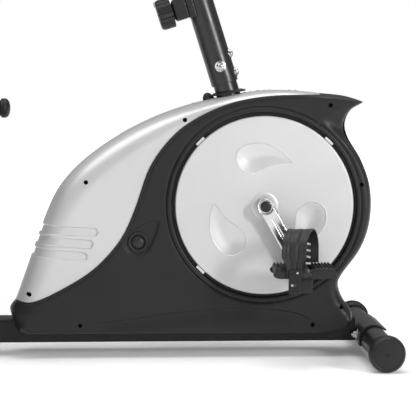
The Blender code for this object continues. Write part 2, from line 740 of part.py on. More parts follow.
def make_magnet_arm():
    """Curved holder that swings towards the flywheel's rim to add load."""
    inner = FLYWHEEL_R + MAGNET_GAP
    outer = inner + MAGNET_THICK
    half = PLATE_Y - 0.0025
    arm = plate(
        "magnet_arm", arc((0, 0), outer, 152, 226, 16) + arc((0, 0), inner, 226, 152, 16),
        -half, half, FLYWHEEL,
    )
    place = magnet_pivot()
    end = PLATE_Y + PLATE_THICK + 0.002
    join(arm, pin("magnet_barrel", place, ALONG_Y, 0.010, -half, half))
    join(arm, pin("magnet_pin", place, ALONG_Y, 0.004, -end, end))
    return finish(arm, STEEL, pivot("magnet_axis", place))


# ---- Housing -------------------------------------------------------------------------------------

def shell(name, rim, free, rows, sign):
    """Half of the housing: a side face, and a rim that runs in to the middle plane.

    rim is the outline that gets the rim, free the rest of it, and rows gives the rim's section from the
    side face inwards as (how far each rim point moves in, distance from the middle plane).
    """
    mesh = bpy.data.meshes.new(name)
    shape = bmesh.new()
    lines = []
    for distances, y in rows:
        moved = inset(rim, distances)
        lines.append([shape.verts.new((p.x, sign * y, p.y)) for p in moved])
    loose = [shape.verts.new((p.x, sign * rows[0][1], p.y)) for p in free]
    shape.faces.new(lines[0] + loose)
    for outer, inner in zip(lines, lines[1:]):
        for i in range(len(outer) - 1):
            shape.faces.new((outer[i + 1], outer[i], inner[i], inner[i + 1]))
    if sign < 0:
        bmesh.ops.reverse_faces(shape, faces=shape.faces)
    shape.to_mesh(mesh)
    shape.free()
    made = linked(name, mesh)
    made.location = AXLE
    skin = made.modifiers.new("wall", "SOLIDIFY")
    skin.thickness = SHELL_WALL
    skin.offset = -1
    skin.use_even_offset = True
    return made


def crest_round(point):
    """How much the silver shell's shoulder rounds over: wide at the nose, tight under the mast."""
    share = min(max((point.x + 0.36) / 0.22, 0), 1)
    return WIDE_SHOULDER + (TIGHT_SHOULDER - WIDE_SHOULDER) * share


def make_silver_shells():
    rim = smooth(CREST, 2)
    lap = inset(smooth(SEAM, 2), [SEAM_LAP] * (2 * len(SEAM) - 1))
    free = [p for p in reversed(lap) if -0.452 < p.x < CREST[-1][0] - 0.001]
    flat_half = 0.030
    rows = []
    for angle in (90, 60, 30, 0):
        bend = math.radians(angle)
        y = flat_half + (SHELL_Y - flat_half) * math.sin(bend)
        rows.append(([crest_round(p) * (1 - math.cos(bend)) + 0.002 for p in rim], y))
    rows.append(([0.0 for _ in rim], FIT))
    for side, sign in sides():
        made = shell("silver_shell_" + side, rim, free, rows, sign)
        cut(made, pin("post_opening_" + side, AXLE, MAST, POST_R + 0.0035, 0.12, 0.30))
        finish(made, SILVER_PLASTIC)


def make_black_covers():
    rim = smooth(FRONT, 2) + smooth(REAR, 2)
    free = smooth(SEAM, 2)
    rows = [([0.005] * len(rim), COVER_Y), ([0.0015] * len(rim), COVER_Y - 0.0015)]
    rows += [([0.0] * len(rim), COVER_Y - 0.005), ([0.0] * len(rim), FIT)]
    gap = BEAM_WIDTH / 2 + 0.0015
    for side, sign in sides():
        cover = shell("black_cover_" + side, rim, free, rows, sign)
        lip = sleeve(
            "disc_lip_" + side, AXLE, ALONG_Y * sign, DISC_LIP_R, DISC_HOLE_R - 0.004,
            COVER_Y - 0.006, COVER_Y + DISC_LIP_RISE, 36,
        )
        join(cover, lip, solver="MANIFOLD")
        low = Vector((AXLE_X - 0.6, -gap, 0))
        holes = [
            pin("disc_hole_" + side, AXLE, ALONG_Y * sign, DISC_HOLE_R, 0.03, 0.1, 36),
            box("beam_opening_" + side, low, (AXLE_X + 0.3, gap, BEAM_TOP + 0.0015)),
        ]
        if sign < 0:
            holes.append(pin("plug_hole", from_axle(*PLUG_AT), ALONG_Y * sign, PLUG_R + FIT, 0.055, 0.08))
        cut(cover, *holes, solver="MANIFOLD")
        finish(cover, BLACK_PLASTIC)
    place = from_axle(*PLUG_AT)
    profile = [
        (0, COVER_Y + 0.002), (PLUG_R * 0.8, COVER_Y + 0.002), (PLUG_R, COVER_Y), (PLUG_R, COVER_Y - 0.007),
        (0, COVER_Y - 0.007),
    ]
    finish(turned("cover_plug", profile, place, -ALONG_Y, 24), GREY_PLASTIC)


# ---- Mast fittings -------------------------------------------------------------------------------

def make_tension_control():
    depth, width, height = KNOB_BOX
    angle = -math.radians(MAST_LEAN)
    place = on_mast(KNOB_AT, MAST_R + FIT + depth / 2)
    finish(slanted_box("tension_housing", place, (depth, width, height), angle, 0.003), BLACK_PLASTIC)
    start = MAST_R + FIT + depth + FIT
    profile = [
        (0, start + KNOB_THICK), (KNOB_R - 0.006, start + KNOB_THICK), (KNOB_R - 0.001, start + KNOB_THICK - 0.004),
        (KNOB_R, start + 0.004), (KNOB_R - 0.002, start), (0, start),
    ]
    knob = turned("tension_knob", profile, on_mast(KNOB_AT), MAST_BACK)
    finish(knob, BLACK_PLASTIC, pivot("tension_axis", on_mast(KNOB_AT)))


def console_place(out, side=0.0, up=0.0):
    """A point on the console: out of its screen, to the side, and up its face, from the case's middle."""
    tilt = math.radians(CONSOLE_TILT)
    face = Vector((-math.cos(tilt), 0, math.sin(tilt)))
    rise = Vector((math.sin(tilt), 0, math.cos(tilt)))
    middle = on_mast(MAST_END) + UP * 0.060 + face * 0.012
    return middle + face * out + ALONG_Y * side + rise * up, face


def make_console():
    depth, width, height = CONSOLE_SIZE
    tilt = math.radians(CONSOLE_TILT)
    middle, face = console_place(0)
    case = slanted_box("console_case", middle, CONSOLE_SIZE, tilt, 0.008)
    pocket = slanted_box("screen_pocket", console_place(depth / 2, 0, 0.022)[0], (0.006, *SCREEN_SIZE), tilt)
    cut(case, pocket)
    screen = (0.0024, SCREEN_SIZE[0] - 2 * FIT, SCREEN_SIZE[1] - 2 * FIT)
    glass = slanted_box("console_screen", console_place(depth / 2 - 0.0014, 0, 0.022)[0], screen, tilt)
    finish(glass, SCREEN)
    for number, side in enumerate(BUTTON_YS):
        place = console_place(depth / 2, side, -0.040)[0]
        depth_in = BUTTON_STEM + BUTTON_TRAVEL + RUNNING
        cut(case, pin("button_hole", place, face, BUTTON_R + RUNNING, -depth_in, 0.01, 16))
        name = "console_button_%d" % (number + 1)
        button = pin(name, place, face, BUTTON_R, -BUTTON_STEM, BUTTON_RISE, 16, 0.001)
        finish(button, GREY_PLASTIC, pivot(name + "_axis", place))
    finish(case, BLACK_PLASTIC)
    make_console_bracket(face, tilt, depth)


def make_console_bracket(face, tilt, depth):
    """Plate under the console with a plug that sits in the mast's end."""
    plate_thick = 0.004
    back = console_place(-depth / 2 - FIT - plate_thick / 2, 0, -0.035)[0]
    bracket = slanted_box("console_bracket", back, (plate_thick, 0.060, 0.070), tilt)
    plug = pin("bracket_plug", AXLE, MAST, POST_R, MAST_END - 0.050, MAST_END + 0.075)
    behind = slanted_box("plug_trim", back + face * 0.050, (0.100, 0.2, 0.3), tilt)
    cut(plug, behind)
    join(bracket, plug)
    finish(bracket, BLACK_PAINT)


def make_front_handlebar():
    centre = on_mast(BAR_AT, -(MAST_R + HANDLE_R + 0.0006))
    half = [
        centre, centre + ALONG_Y * BAR_HALF, centre + ALONG_Y * BAR_HALF + Vector((-BAR_REACH - 0.03, 0, 0.045)),
    ]
    mirrored = [Vector((p.x, -p.y, p.z)) for p in reversed(half[1:])]
    path = bent(mirrored + half[1:], 0.045, 5)
    finish(tube("front_handlebar", path, HANDLE_R, HANDLE_WALL), BLACK_PAINT)
    for side, sign in sides():
        end = Vector((half[2].x, sign * half[2].y, half[2].z))
        back = Vector((half[1].x, sign * half[1].y, half[1].z)) - end
        make_grip("front_grip_" + side, end, -back.normalized(), GRIP_R, BIKE)
    bar_half = 0.024
    mast_turn = -math.radians(MAST_LEAN)
    clamp_size = (0.040, 2 * bar_half, 0.042)
    clamp_place = on_mast(BAR_AT, -MAST_R - HANDLE_R)
    clamp = slanted_box("handlebar_clamp", clamp_place, clamp_size, mast_turn, 0.003)
    cut(clamp, pin("clamp_mast_bore", AXLE, MAST, MAST_R + FIT, MAST_START, MAST_END))
    cut(clamp, pin("clamp_bar_bore", centre, ALONG_Y, HANDLE_R + FIT, -0.1, 0.1))
    finish(clamp, BLACK_PAINT)


def make_grip(name, end, way, cap_r, parent):
    """Foam sleeve over a bar's end, closed by its round tip. way points out of the bar."""
    inner = HANDLE_R + FIT
    tip = 0.010
    profile = [
        (0, tip), (cap_r * 0.55, tip * 0.93), (cap_r * 0.88, tip * 0.62), (cap_r, 0.001), (cap_r, -0.008),
        (GRIP_R, -0.0085), (GRIP_R, -GRIP_LENGTH), (inner, -GRIP_LENGTH), (inner, FIT), (0, FIT),
    ]
    return finish(turned(name, profile, end, way, 16), FOAM, parent)


# ---- Seat ----------------------------------------------------------------------------------------

def make_seat_support():
    """Post from the beam and the rail that the seat slides on, welded together."""
    length, width, height = RAIL_SIZE
    low = Vector((AXLE_X + RAIL_FRONT - length, -width / 2, RAIL_BOTTOM))
    rail = box("seat_support", low, low + Vector(RAIL_SIZE))
    wall = Vector((0, 0.0025, 0.0025))
    past = Vector((0.01, 0, 0))
    hollow = box("rail_hollow", low + wall - past, low + Vector(RAIL_SIZE) - wall + past)
    foot = Vector((AXLE_X + SEAT_POST_X - SEAT_POST[0] / 2, -SEAT_POST[1] / 2, BEAM_TOP + FIT))
    top = Vector((foot.x + SEAT_POST[0], SEAT_POST[1] / 2, RAIL_BOTTOM + 0.001))
    join(rail, box("seat_post", foot, top))
    inner = Vector((0.0025, 0.0025, 0))
    cut(rail, hollow, box("post_inside", foot + inner - UP * 0.01, top - inner - UP * 0.006))
    return finish(rail, BLACK_PAINT)


def make_seat():
    seat = pivot("seat_axis", Vector((AXLE_X + CARRIAGE_X, 0, RAIL_TOP)))
    make_carriage(seat)
    make_seat_frame(seat)
    make_cushions(seat)
    make_seat_handlebar(seat)
    make_seat_lever(seat)


def make_carriage(seat):
    half = RAIL_SIZE[1] / 2 + RUNNING + CARRIAGE_WALL
    start = AXLE_X + CARRIAGE_X - CARRIAGE_LENGTH / 2
    low = Vector((start, -half, RAIL_BOTTOM + 0.006))
    high = Vector((start + CARRIAGE_LENGTH, half, RAIL_TOP + CARRIAGE_RISE))
    block = box("seat_carriage", low, high)
    side = RAIL_SIZE[1] / 2 + RUNNING
    cut(block, box("rail_opening", (low.x - 0.01, -side, 0), (high.x + 0.01, side, RAIL_TOP + RUNNING)))
    top = RAIL_TOP + RUNNING + CARRIAGE_WALL
    cut(block, box("carriage_hollow", (low.x - 0.01, -side, top), (high.x + 0.01, side, high.z - 0.004)))
    bore = pin("lever_bore", lever_place(), -ALONG_Y, 0.006 + RUNNING, -0.001, 0.012)
    cut(block, bore)
    return finish(block, BLACK_PAINT, seat)


def back_line(height):
    """Forward place of the back tubes' middle line at a height."""
    lean = math.tan(math.radians(BACK_LEAN))
    return AXLE_X + BACK_FOOT_X - lean * (height - PAN_BOTTOM)


def make_seat_frame(seat):
    low = Vector((AXLE_X + PAN_X - PAN_SIZE[0] / 2, -PAN_SIZE[1] / 2, PAN_BOTTOM))
    frame = box("seat_frame", low, low + Vector(PAN_SIZE))
    level = PAN_BOTTOM - BACK_TUBE_R + 0.001
    for side, sign in sides():
        y = sign * BACK_TUBE_Y
        path = [(low.x + 0.060, y, level), (back_line(level), y, level), (back_line(BACK_TOP), y, BACK_TOP)]
        join(frame, tube("back_tube_" + side, bent(path, BACK_BEND, 6), BACK_TUBE_R))
    for height in (0.600, 0.860):
        place = Vector((back_line(height), 0, height))
        size = (0.003, 2 * BACK_TUBE_Y + 0.030, 0.045)
        strap = slanted_box("back_strap", place + Vector((0.0085, 0, 0)), size, -math.radians(BACK_LEAN))
        join(frame, strap)
    return finish(frame, BLACK_PAINT, seat)


def make_cushions(seat):
    low = Vector((AXLE_X + SEAT_CUSHION_X - SEAT_CUSHION[0] / 2, -SEAT_CUSHION[1] / 2, PAN_TOP + FIT))
    finish(box("seat_cushion", low, low + Vector(SEAT_CUSHION), 0.020), VINYL, seat)
    lean = math.radians(BACK_LEAN)
    middle_height = 0.745
    forward = BACK_TUBE_R + 0.003 + BACK_CUSHION[0] / 2
    place = Vector((back_line(middle_height), 0, middle_height))
    place += Vector((math.cos(lean), 0, math.sin(lean))) * forward
    finish(slanted_box("back_cushion", place, BACK_CUSHION, -lean, 0.020), VINYL, seat)


def make_seat_handlebar(seat):
    level = RAIL_TOP + RUNNING + HANDLE_R + 0.0012
    x = AXLE_X + SEAT_BAR_X
    end = AXLE_X + SEAT_GRIP_TIP - 0.010
    half = [
        Vector((x, SEAT_BAR_HALF, level)), Vector((x - 0.030, SEAT_BAR_HALF, SEAT_GRIP_HEIGHT)),
        Vector((end, SEAT_BAR_HALF, SEAT_GRIP_HEIGHT)),
    ]
    mirrored = [Vector((p.x, -p.y, p.z)) for p in reversed(half)]
    bar = tube("seat_handlebar", bent(mirrored + half, 0.040, 4), HANDLE_R, HANDLE_WALL)
    finish(bar, BLACK_PAINT, seat)
    for side, sign in sides():
        tip = Vector((end, sign * SEAT_BAR_HALF, SEAT_GRIP_HEIGHT))
        make_grip("seat_grip_" + side, tip, Vector((1, 0, 0)), GRIP_CAP_R, seat)


def lever_place():
    half = RAIL_SIZE[1] / 2 + RUNNING
    return Vector((AXLE_X + LEVER_X, -half, RAIL_BOTTOM + RAIL_SIZE[2] / 2))


def make_seat_lever(seat):
    """Cam lever on the carriage's right side that clamps it to the rail."""
    place = lever_place()
    start = CARRIAGE_WALL + FIT
    lever = turned(
        "seat_clamp_lever",
        [(0, start + 0.016), (0.012, start + 0.016), (0.014, start + 0.013), (0.014, start), (0.006, start),
         (0.006, 0.0008), (0, 0.0008)],
        place, -ALONG_Y, 24,
    )
    way = Vector((math.cos(math.radians(-25)), 0, math.sin(math.radians(-25))))
    base = place - ALONG_Y * (start + 0.009)
    path = [base, base + way * 0.03 - ALONG_Y * 0.006, base + way * LEVER_LENGTH - ALONG_Y * 0.016]
    join(lever, tube("lever_arm", path, 0.0055))
    return finish(lever, BLACK_PLASTIC, pivot("seat_lever_axis", place, seat))


# ---- Assembly ------------------------------------------------------------------------------------

def main():
    make_beam()
    make_stabiliser("front_stabiliser", FRONT_TUBE_X)
    make_stabiliser("rear_stabiliser", REAR_TUBE_X)
    make_saddle()
    make_front_rollers()
    make_rear_caps()
    make_post()
    make_bearings()
    make_mast()
    make_collar()
    crank = pivot("crank_axis", AXLE)
    make_crank_drive(crank)
    make_discs(crank)
    make_crank_arms(crank)
    for side, sign in sides():
        make_pedal(side, sign, crank)
    make_flywheel(pivot("flywheel_axis", FLYWHEEL))
    make_belt()
    make_flywheel_plates()
    make_magnet_arm()
    make_silver_shells()
    make_black_covers()
    make_tension_control()
    make_console()
    make_front_handlebar()
    make_seat_support()
    make_seat()


main()
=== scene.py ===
"""Looks of the recumbent exercise bike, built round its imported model.

Metres, +Z up, +X forward, the rider's right side at -Y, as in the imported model.
"""

import math

import bmesh
import bpy
import numpy as np
from mathutils import Matrix, Vector, kdtree
from mathutils.bvhtree import BVHTree
from mathutils.geometry import delaunay_2d_cdt


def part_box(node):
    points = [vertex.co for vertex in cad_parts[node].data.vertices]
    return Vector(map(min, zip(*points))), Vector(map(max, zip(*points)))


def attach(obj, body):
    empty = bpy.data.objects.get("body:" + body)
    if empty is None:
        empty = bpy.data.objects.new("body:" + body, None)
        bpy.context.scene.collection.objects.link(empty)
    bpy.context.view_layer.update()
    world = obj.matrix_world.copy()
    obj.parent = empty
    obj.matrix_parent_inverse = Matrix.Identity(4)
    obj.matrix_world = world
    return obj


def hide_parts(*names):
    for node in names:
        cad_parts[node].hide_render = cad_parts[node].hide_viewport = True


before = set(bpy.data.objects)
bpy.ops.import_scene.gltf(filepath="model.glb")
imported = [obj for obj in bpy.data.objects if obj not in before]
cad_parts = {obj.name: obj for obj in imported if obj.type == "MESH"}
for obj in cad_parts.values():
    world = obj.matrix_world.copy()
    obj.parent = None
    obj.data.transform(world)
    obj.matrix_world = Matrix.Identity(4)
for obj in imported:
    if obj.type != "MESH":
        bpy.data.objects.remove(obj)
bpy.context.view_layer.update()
ALONG_X, ALONG_Y, UP = Vector((1, 0, 0)), Vector((0, 1, 0)), Vector((0, 0, 1))
SIDES = (("right", -1), ("left", 1))


def low(node):
    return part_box(node)[0]


def high(node):
    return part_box(node)[1]


def middle(node):
    return (low(node) + high(node)) / 2


AXLE = middle("crank_disc_right")
AXLE.y = 0
MAST_LEAN = math.radians(17.3)
MAST = Vector((-math.sin(MAST_LEAN), 0, math.cos(MAST_LEAN)))
MAST_BACK = Vector((-MAST.z, 0, MAST.x))
MAST_R = 0.0254
POST_R = 0.0225
MAST_START, MAST_END = 0.236, 0.860
COVER_Y = 0.0660
SHELL_Y = 0.0622
DISC_Y = 0.0705
DISC_R = 0.1655
HOLE_R = 0.172
HANDLE_R = 0.0125
GRIP_R = 0.0165
PLUG_AT = np.array((-0.234, -0.068))

# Outlines of the housing: (forward, up) from the crank axle and how far in the edge rounds over.
CREST = (
    (-0.464, -0.176, 0.052), (-0.436, -0.098, 0.052), (-0.415, -0.039, 0.052), (-0.389, 0.021, 0.052),
    (-0.354, 0.066, 0.052), (-0.306, 0.106, 0.050), (-0.249, 0.141, 0.045), (-0.181, 0.172, 0.036),
    (-0.104, 0.195, 0.024), (-0.014, 0.211, 0.016), (0.048, 0.213, 0.013), (0.104, 0.208, 0.012),
)
FRONT = (
    (0.108, 0.2075, 0.012), (0.150, 0.203, 0.010), (0.180, 0.194, 0.006), (0.184, 0.189, 0.005),
    (0.162, 0.174, 0.009), (0.153, 0.150, 0.014), (0.160, 0.124, 0.016), (0.183, 0.086, 0.016),
    (0.200, 0.040, 0.016), (0.204, -0.008, 0.016), (0.197, -0.053, 0.016), (0.180, -0.092, 0.018),
    (0.150, -0.133, 0.020), (0.143, -0.152, 0.020), (0.152, -0.179, 0.022), (0.167, -0.200, 0.020),
    (0.168, -0.222, 0.012), (0.150, -0.237, 0.008), (0.110, -0.242, 0.006),
)
REAR = (
    (-0.440, -0.242, 0.008), (-0.461, -0.236, 0.022), (-0.470, -0.215, 0.040), (-0.4755, -0.197, 0.050),
    (-0.4735, -0.190, 0.052),
)
SEAM = (
    (-0.463, -0.177), (-0.431, -0.179), (-0.383, -0.159), (-0.318, -0.119), (-0.269, -0.066),
    (-0.241, -0.009), (-0.212, 0.071), (-0.170, 0.128), (-0.121, 0.164), (-0.056, 0.191), (0.018, 0.203),
    (0.106, 0.205),
)
LOWER_CREASE = (
    (-0.342, -0.223), (-0.245, -0.210), (-0.171, -0.200), (-0.107, -0.194), (-0.055, -0.191),
    (-0.006, -0.192), (0.034, -0.196), (0.068, -0.203), (0.091, -0.215), (0.106, -0.224),
)
BEAK_CREASE = ((0.095, 0.148), (0.1015, 0.1551), (0.1264, 0.1698), (0.1523, 0.1847), (0.160, 0.189))
COVER_SCREWS = ((0.122, 0.185), (0.181, 0.038), (-0.342, -0.223), (0.091, -0.224), (0.145, -0.191))
SHELL_SCREWS = ((-0.330, 0.043), (-0.147, 0.158), (-0.436, -0.165))
GROOVES = (
    ((-0.413, -0.035), (-0.309, -0.041)), ((-0.420, -0.055), (-0.318, -0.063)),
    ((-0.430, -0.077), (-0.329, -0.086)),
)
DROP = (
    (-0.0536, 0.0859), (-0.0489, 0.1017), (-0.0352, 0.1122), (-0.0142, 0.1161), (0.0095, 0.1122),
    (0.0305, 0.1003), (0.0449, 0.0872), (0.0515, 0.0780), (0.0384, 0.0762), (0.0200, 0.0741),
    (0.0068, 0.0701), (-0.0063, 0.0636), (-0.0221, 0.0583), (-0.0378, 0.0623), (-0.0483, 0.0715),
)


# ---- Materials -----------------------------------------------------------------------------------

def ramp(nodes, links, source, stops):
    node = nodes.new("ShaderNodeValToRGB")
    links.new(source, node.inputs["Fac"])
    ends = node.color_ramp.elements
    ends[0].position, ends[1].position = stops[0][0], stops[1][0]
    for element, (_, colour) in zip(ends, stops):
        element.color = (*colour, 1) if len(colour) == 3 else colour
    return node.outputs["Color"]


def grey(value):
    return (value, value, value)


def paint(
    name, slot, colour, rough, metallic=0.0, coat=0.0, specular=0.5, grain=600.0, depth=0.00003,
    vary=0.12, rough_vary=0.06, wear_and_edge_highlight=None, wear_and_edge_highlight_from=0.56, stretch=(1, 1, 1), cells=None, sheen=0.0,
    soft_depth=0.0, soft_scale=40.0,
):
    """A finish with colour and roughness that vary, a fine surface grain and, if asked, lighter edges: partly edge wear
    and partly a painted highlight along edges and creases.
    """
    made = bpy.data.materials.new(name)
    made.use_nodes = True
    made["slot"] = slot
    nodes, links = made.node_tree.nodes, made.node_tree.links
    shader = nodes["Principled BSDF"]
    shader.inputs["Metallic"].default_value = metallic
    shader.inputs["Coat Weight"].default_value = coat
    shader.inputs["Coat Roughness"].default_value = 0.08
    shader.inputs["Specular IOR Level"].default_value = specular
    shader.inputs["Sheen Weight"].default_value = sheen
    shader.inputs["Sheen Roughness"].default_value = 0.4
    place = nodes.new("ShaderNodeTexCoord").outputs["Object"]
    stretched = nodes.new("ShaderNodeMapping")
    stretched.inputs["Scale"].default_value = stretch
    links.new(place, stretched.inputs["Vector"])
    place = stretched.outputs["Vector"]

    def noise(scale, detail=3.0, rough_share=0.55):
        node = nodes.new("ShaderNodeTexNoise")
        node.inputs["Scale"].default_value = scale
        node.inputs["Detail"].default_value = detail
        node.inputs["Roughness"].default_value = rough_share
        links.new(place, node.inputs["Vector"])
        return node.outputs["Fac"]

    blotch = noise(9.0, 4.0)
    darker = tuple(c * (1 - vary) for c in colour)
    lighter = tuple(min(1.0, c * (1 + vary)) for c in colour)
    tone = ramp(nodes, links, blotch, ((0.35, darker), (0.65, lighter)))
    # Lighter colour where the mesh is pointy: edge wear, and also a painted highlight along edges and creases.
    if wear_and_edge_highlight:
        point = nodes.new("ShaderNodeNewGeometry").outputs["Pointiness"]
        edge = ramp(nodes, links, point, ((wear_and_edge_highlight_from - 0.03, grey(0)), (wear_and_edge_highlight_from + 0.05, grey(1))))
        patchy = ramp(nodes, links, noise(160.0, 4.0), ((0.42, grey(0)), (0.62, grey(1))))
        amount = nodes.new("ShaderNodeMath")
        amount.operation = "MULTIPLY"
        links.new(edge, amount.inputs[0])
        links.new(patchy, amount.inputs[1])
        mixed = nodes.new("ShaderNodeMix")
        mixed.data_type = "RGBA"
        links.new(amount.outputs["Value"], mixed.inputs[0])
        links.new(tone, mixed.inputs[6])
        mixed.inputs[7].default_value = (*wear_and_edge_highlight, 1)
        tone = mixed.outputs[2]
    links.new(tone, shader.inputs["Base Color"])
    spread = nodes.new("ShaderNodeMapRange")
    spread.inputs["From Min"].default_value = 0.3
    spread.inputs["From Max"].default_value = 0.7
    spread.inputs["To Min"].default_value = max(0.02, rough - rough_vary)
    spread.inputs["To Max"].default_value = min(1.0, rough + rough_vary)
    links.new(noise(34.0, 5.0), spread.inputs["Value"])
    links.new(spread.outputs["Result"], shader.inputs["Roughness"])
    bump = nodes.new("ShaderNodeBump")
    bump.inputs["Strength"].default_value = 1.0
    bump.inputs["Distance"].default_value = depth
    links.new(noise(grain, 2.0), bump.inputs["Height"])
    normal = bump.outputs["Normal"]
    if cells:
        cell = nodes.new("ShaderNodeTexVoronoi")
        cell.feature = "DISTANCE_TO_EDGE"
        cell.inputs["Scale"].default_value = cells[0]
        links.new(place, cell.inputs["Vector"])
        leather = ramp(nodes, links, cell.outputs["Distance"], ((0.0, grey(0)), (0.16, grey(1))))
        second = nodes.new("ShaderNodeBump")
        second.inputs["Distance"].default_value = cells[1]
        links.new(leather, second.inputs["Height"])
        links.new(normal, second.inputs["Normal"])
        normal = second.outputs["Normal"]
    if soft_depth:
        wave = nodes.new("ShaderNodeBump")
        wave.inputs["Distance"].default_value = soft_depth
        links.new(noise(soft_scale, 1.0), wave.inputs["Height"])
        links.new(normal, wave.inputs["Normal"])
        normal = wave.outputs["Normal"]
    links.new(normal, shader.inputs["Normal"])
    return made


GLOSS_BLACK = paint(
    "frame_paint", "black_paint", (0.009, 0.009, 0.010), 0.34, specular=0.55, grain=420, depth=0.000008,
)
BEAM_BLACK = paint(
    "beam_paint", "black_paint", (0.008, 0.008, 0.009), 0.34, specular=0.25, grain=700, depth=0.00001,
)
# The cover's lighter edges are partly wear and partly a painted highlight on its creases, seam and disc lip.
COVER_BLACK = paint(
    "cover_plastic", "black_plastic", (0.012, 0.012, 0.013), 0.42, specular=0.28, grain=1500,
    depth=0.00006, vary=0.10, wear_and_edge_highlight=(0.05, 0.05, 0.052), wear_and_edge_highlight_from=0.58,
)
TRIM_BLACK = paint(
    "trim_plastic", "black_plastic", (0.014, 0.014, 0.015), 0.38, specular=0.35, grain=900,
    depth=0.00005, vary=0.15,
)
# Extra dark, dull black for the insides of recesses: painted shade, darker than the plastic round it.
RECESS_SHADE_BLACK = paint("recess_painted_shade", "black_plastic", (0.004, 0.004, 0.004), 0.7, specular=0.1)
SILVER = paint(
    "silver_paint", "silver_plastic", (0.56, 0.56, 0.565), 0.36, metallic=0.40, coat=0.25, grain=2400,
    depth=0.00002, vary=0.02, rough_vary=0.03,
)
DISC_SILVER = paint(
    "disc_paint", "silver_plastic", (0.56, 0.56, 0.562), 0.42, metallic=0.35, grain=2600,
    depth=0.00003, vary=0.02, rough_vary=0.04,
)
GREY_PLASTIC = paint(
    "cap_plastic", "grey_plastic", (0.012, 0.012, 0.013), 0.44, specular=0.30, grain=1100,
    depth=0.00006, vary=0.15,
)
TREAD = paint(
    "tread_plastic", "black_plastic", (0.012, 0.012, 0.013), 0.50, specular=0.30, grain=1300,
    depth=0.00008, vary=0.2,
)
CHROME = paint(
    "crank_chrome", "chrome", (0.56, 0.56, 0.57), 0.20, metallic=1.0, grain=420, depth=0.00001,
    vary=0.08, rough_vary=0.05, soft_depth=0.00010, soft_scale=30,
)
ZINC = paint(
    "zinc_plate", "steel", (0.62, 0.62, 0.60), 0.25, metallic=1.0, grain=900, depth=0.00002,
    vary=0.12, rough_vary=0.10,
)
STEEL = paint(
    "turned_steel", "steel", (0.50, 0.50, 0.51), 0.32, metallic=1.0, grain=300, depth=0.00002,
    stretch=(1, 8, 1), vary=0.1,
)
IRON = paint(
    "cast_iron", "cast_iron", (0.11, 0.11, 0.115), 0.55, metallic=0.8, grain=420, depth=0.0001,
    vary=0.25,
)
RUBBER = paint(
    "strap_rubber", "rubber", (0.013, 0.013, 0.014), 0.50, specular=0.32, grain=1600, depth=0.00005,
    vary=0.15,
)
FOAM = paint(
    "grip_foam", "foam", (0.018, 0.018, 0.019), 0.85, specular=0.25, grain=900, depth=0.0001,
    cells=(1500, 0.00008), vary=0.2, sheen=0.15,
)
VINYL = paint(
    "seat_vinyl", "vinyl", (0.024, 0.024, 0.026), 0.64, specular=0.08, grain=1400, depth=0.00003,
    cells=(620, 0.00014), vary=0.12, rough_vary=0.08, soft_depth=0.0004, soft_scale=16,
)
PIPING = paint("seam_piping", "vinyl", (0.012, 0.012, 0.013), 0.40, grain=1200, cells=(900, 0.00005))
THREAD = paint("seam_thread", "vinyl", (0.10, 0.10, 0.105), 0.75, grain=2400, depth=0.0001)
GLASS = paint(
    "display_glass", "screen", (0.15, 0.175, 0.155), 0.12, coat=0.8, grain=300, depth=0.000002,
    vary=0.05, rough_vary=0.03,
)
SEGMENT = paint("display_segment", "screen", (0.012, 0.014, 0.012), 0.35, grain=600, depth=0.00001)
MARK = paint("button_mark", "grey_plastic", (0.55, 0.55, 0.56), 0.5, grain=900, depth=0.00002)


# ---- Mesh helpers --------------------------------------------------------------------------------

def piece(obj, body, finish, *nodes, angle=35):
    """Finishes a mesh and makes it ride on a body, in place of the CAD nodes it stands for."""
    obj.data.materials.clear()
    obj.data.materials.append(finish)
    obj.data.shade_smooth()
    obj.data.set_sharp_from_angle(angle=math.radians(angle))
    flat = obj.modifiers.new("flat_faces_stay_flat", "WEIGHTED_NORMAL")
    flat.keep_sharp = True
    bake(obj)
    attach(obj, body)
    if nodes:
        obj.name = nodes[0] + "_visual"
        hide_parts(*nodes)
    return obj


def solid(name, points, faces):
    """A mesh object whose faces all point outwards."""
    mesh = bpy.data.meshes.new(name)
    mesh.from_pydata([tuple(p) for p in points], [], faces)
    shape = bmesh.new()
    shape.from_mesh(mesh)
    bmesh.ops.recalc_face_normals(shape, faces=shape.faces)
    shape.to_mesh(mesh)
    shape.free()
    made = bpy.data.objects.new(name, mesh)
    bpy.context.scene.collection.objects.link(made)
    return made


def bake(obj):
    """Applies the object's modifiers."""
    graph = bpy.context.evaluated_depsgraph_get()
    mesh = bpy.data.meshes.new_from_object(obj.evaluated_get(graph))
    obj.modifiers.clear()
    obj.data = mesh
    return obj


def boolean(obj, others, operation, solver="MANIFOLD"):
    for other in others:
        change = obj.modifiers.new("boolean", "BOOLEAN")
        change.operation = operation
        change.solver = solver
        change.object = other
    bake(obj)
    for other in others:
        bpy.data.objects.remove(other)
    return obj


def cut(obj, *others):
    return boolean(obj, others, "DIFFERENCE")


def fuse(obj, *others):
    return boolean(obj, others, "UNION")


def merge(name, *objs):
    """Several separate closed shapes as one piece."""
    shape = bmesh.new()
    for obj in objs:
        shape.from_mesh(obj.data)
        bpy.data.objects.remove(obj)
    mesh = bpy.data.meshes.new(name)
    shape.to_mesh(mesh)
    shape.free()
    made = bpy.data.objects.new(name, mesh)
    bpy.context.scene.collection.objects.link(made)
    return made


def bevel(obj, width, segments=3, angle=35):
    change = obj.modifiers.new("edges", "BEVEL")
    change.width = width
    change.segments = segments
    change.limit_method = "ANGLE"
    change.angle_limit = math.radians(angle)
    return bake(obj)


def thicken(obj, thickness):
    change = obj.modifiers.new("wall", "SOLIDIFY")
    change.thickness = thickness
    change.offset = -1
    return bake(obj)


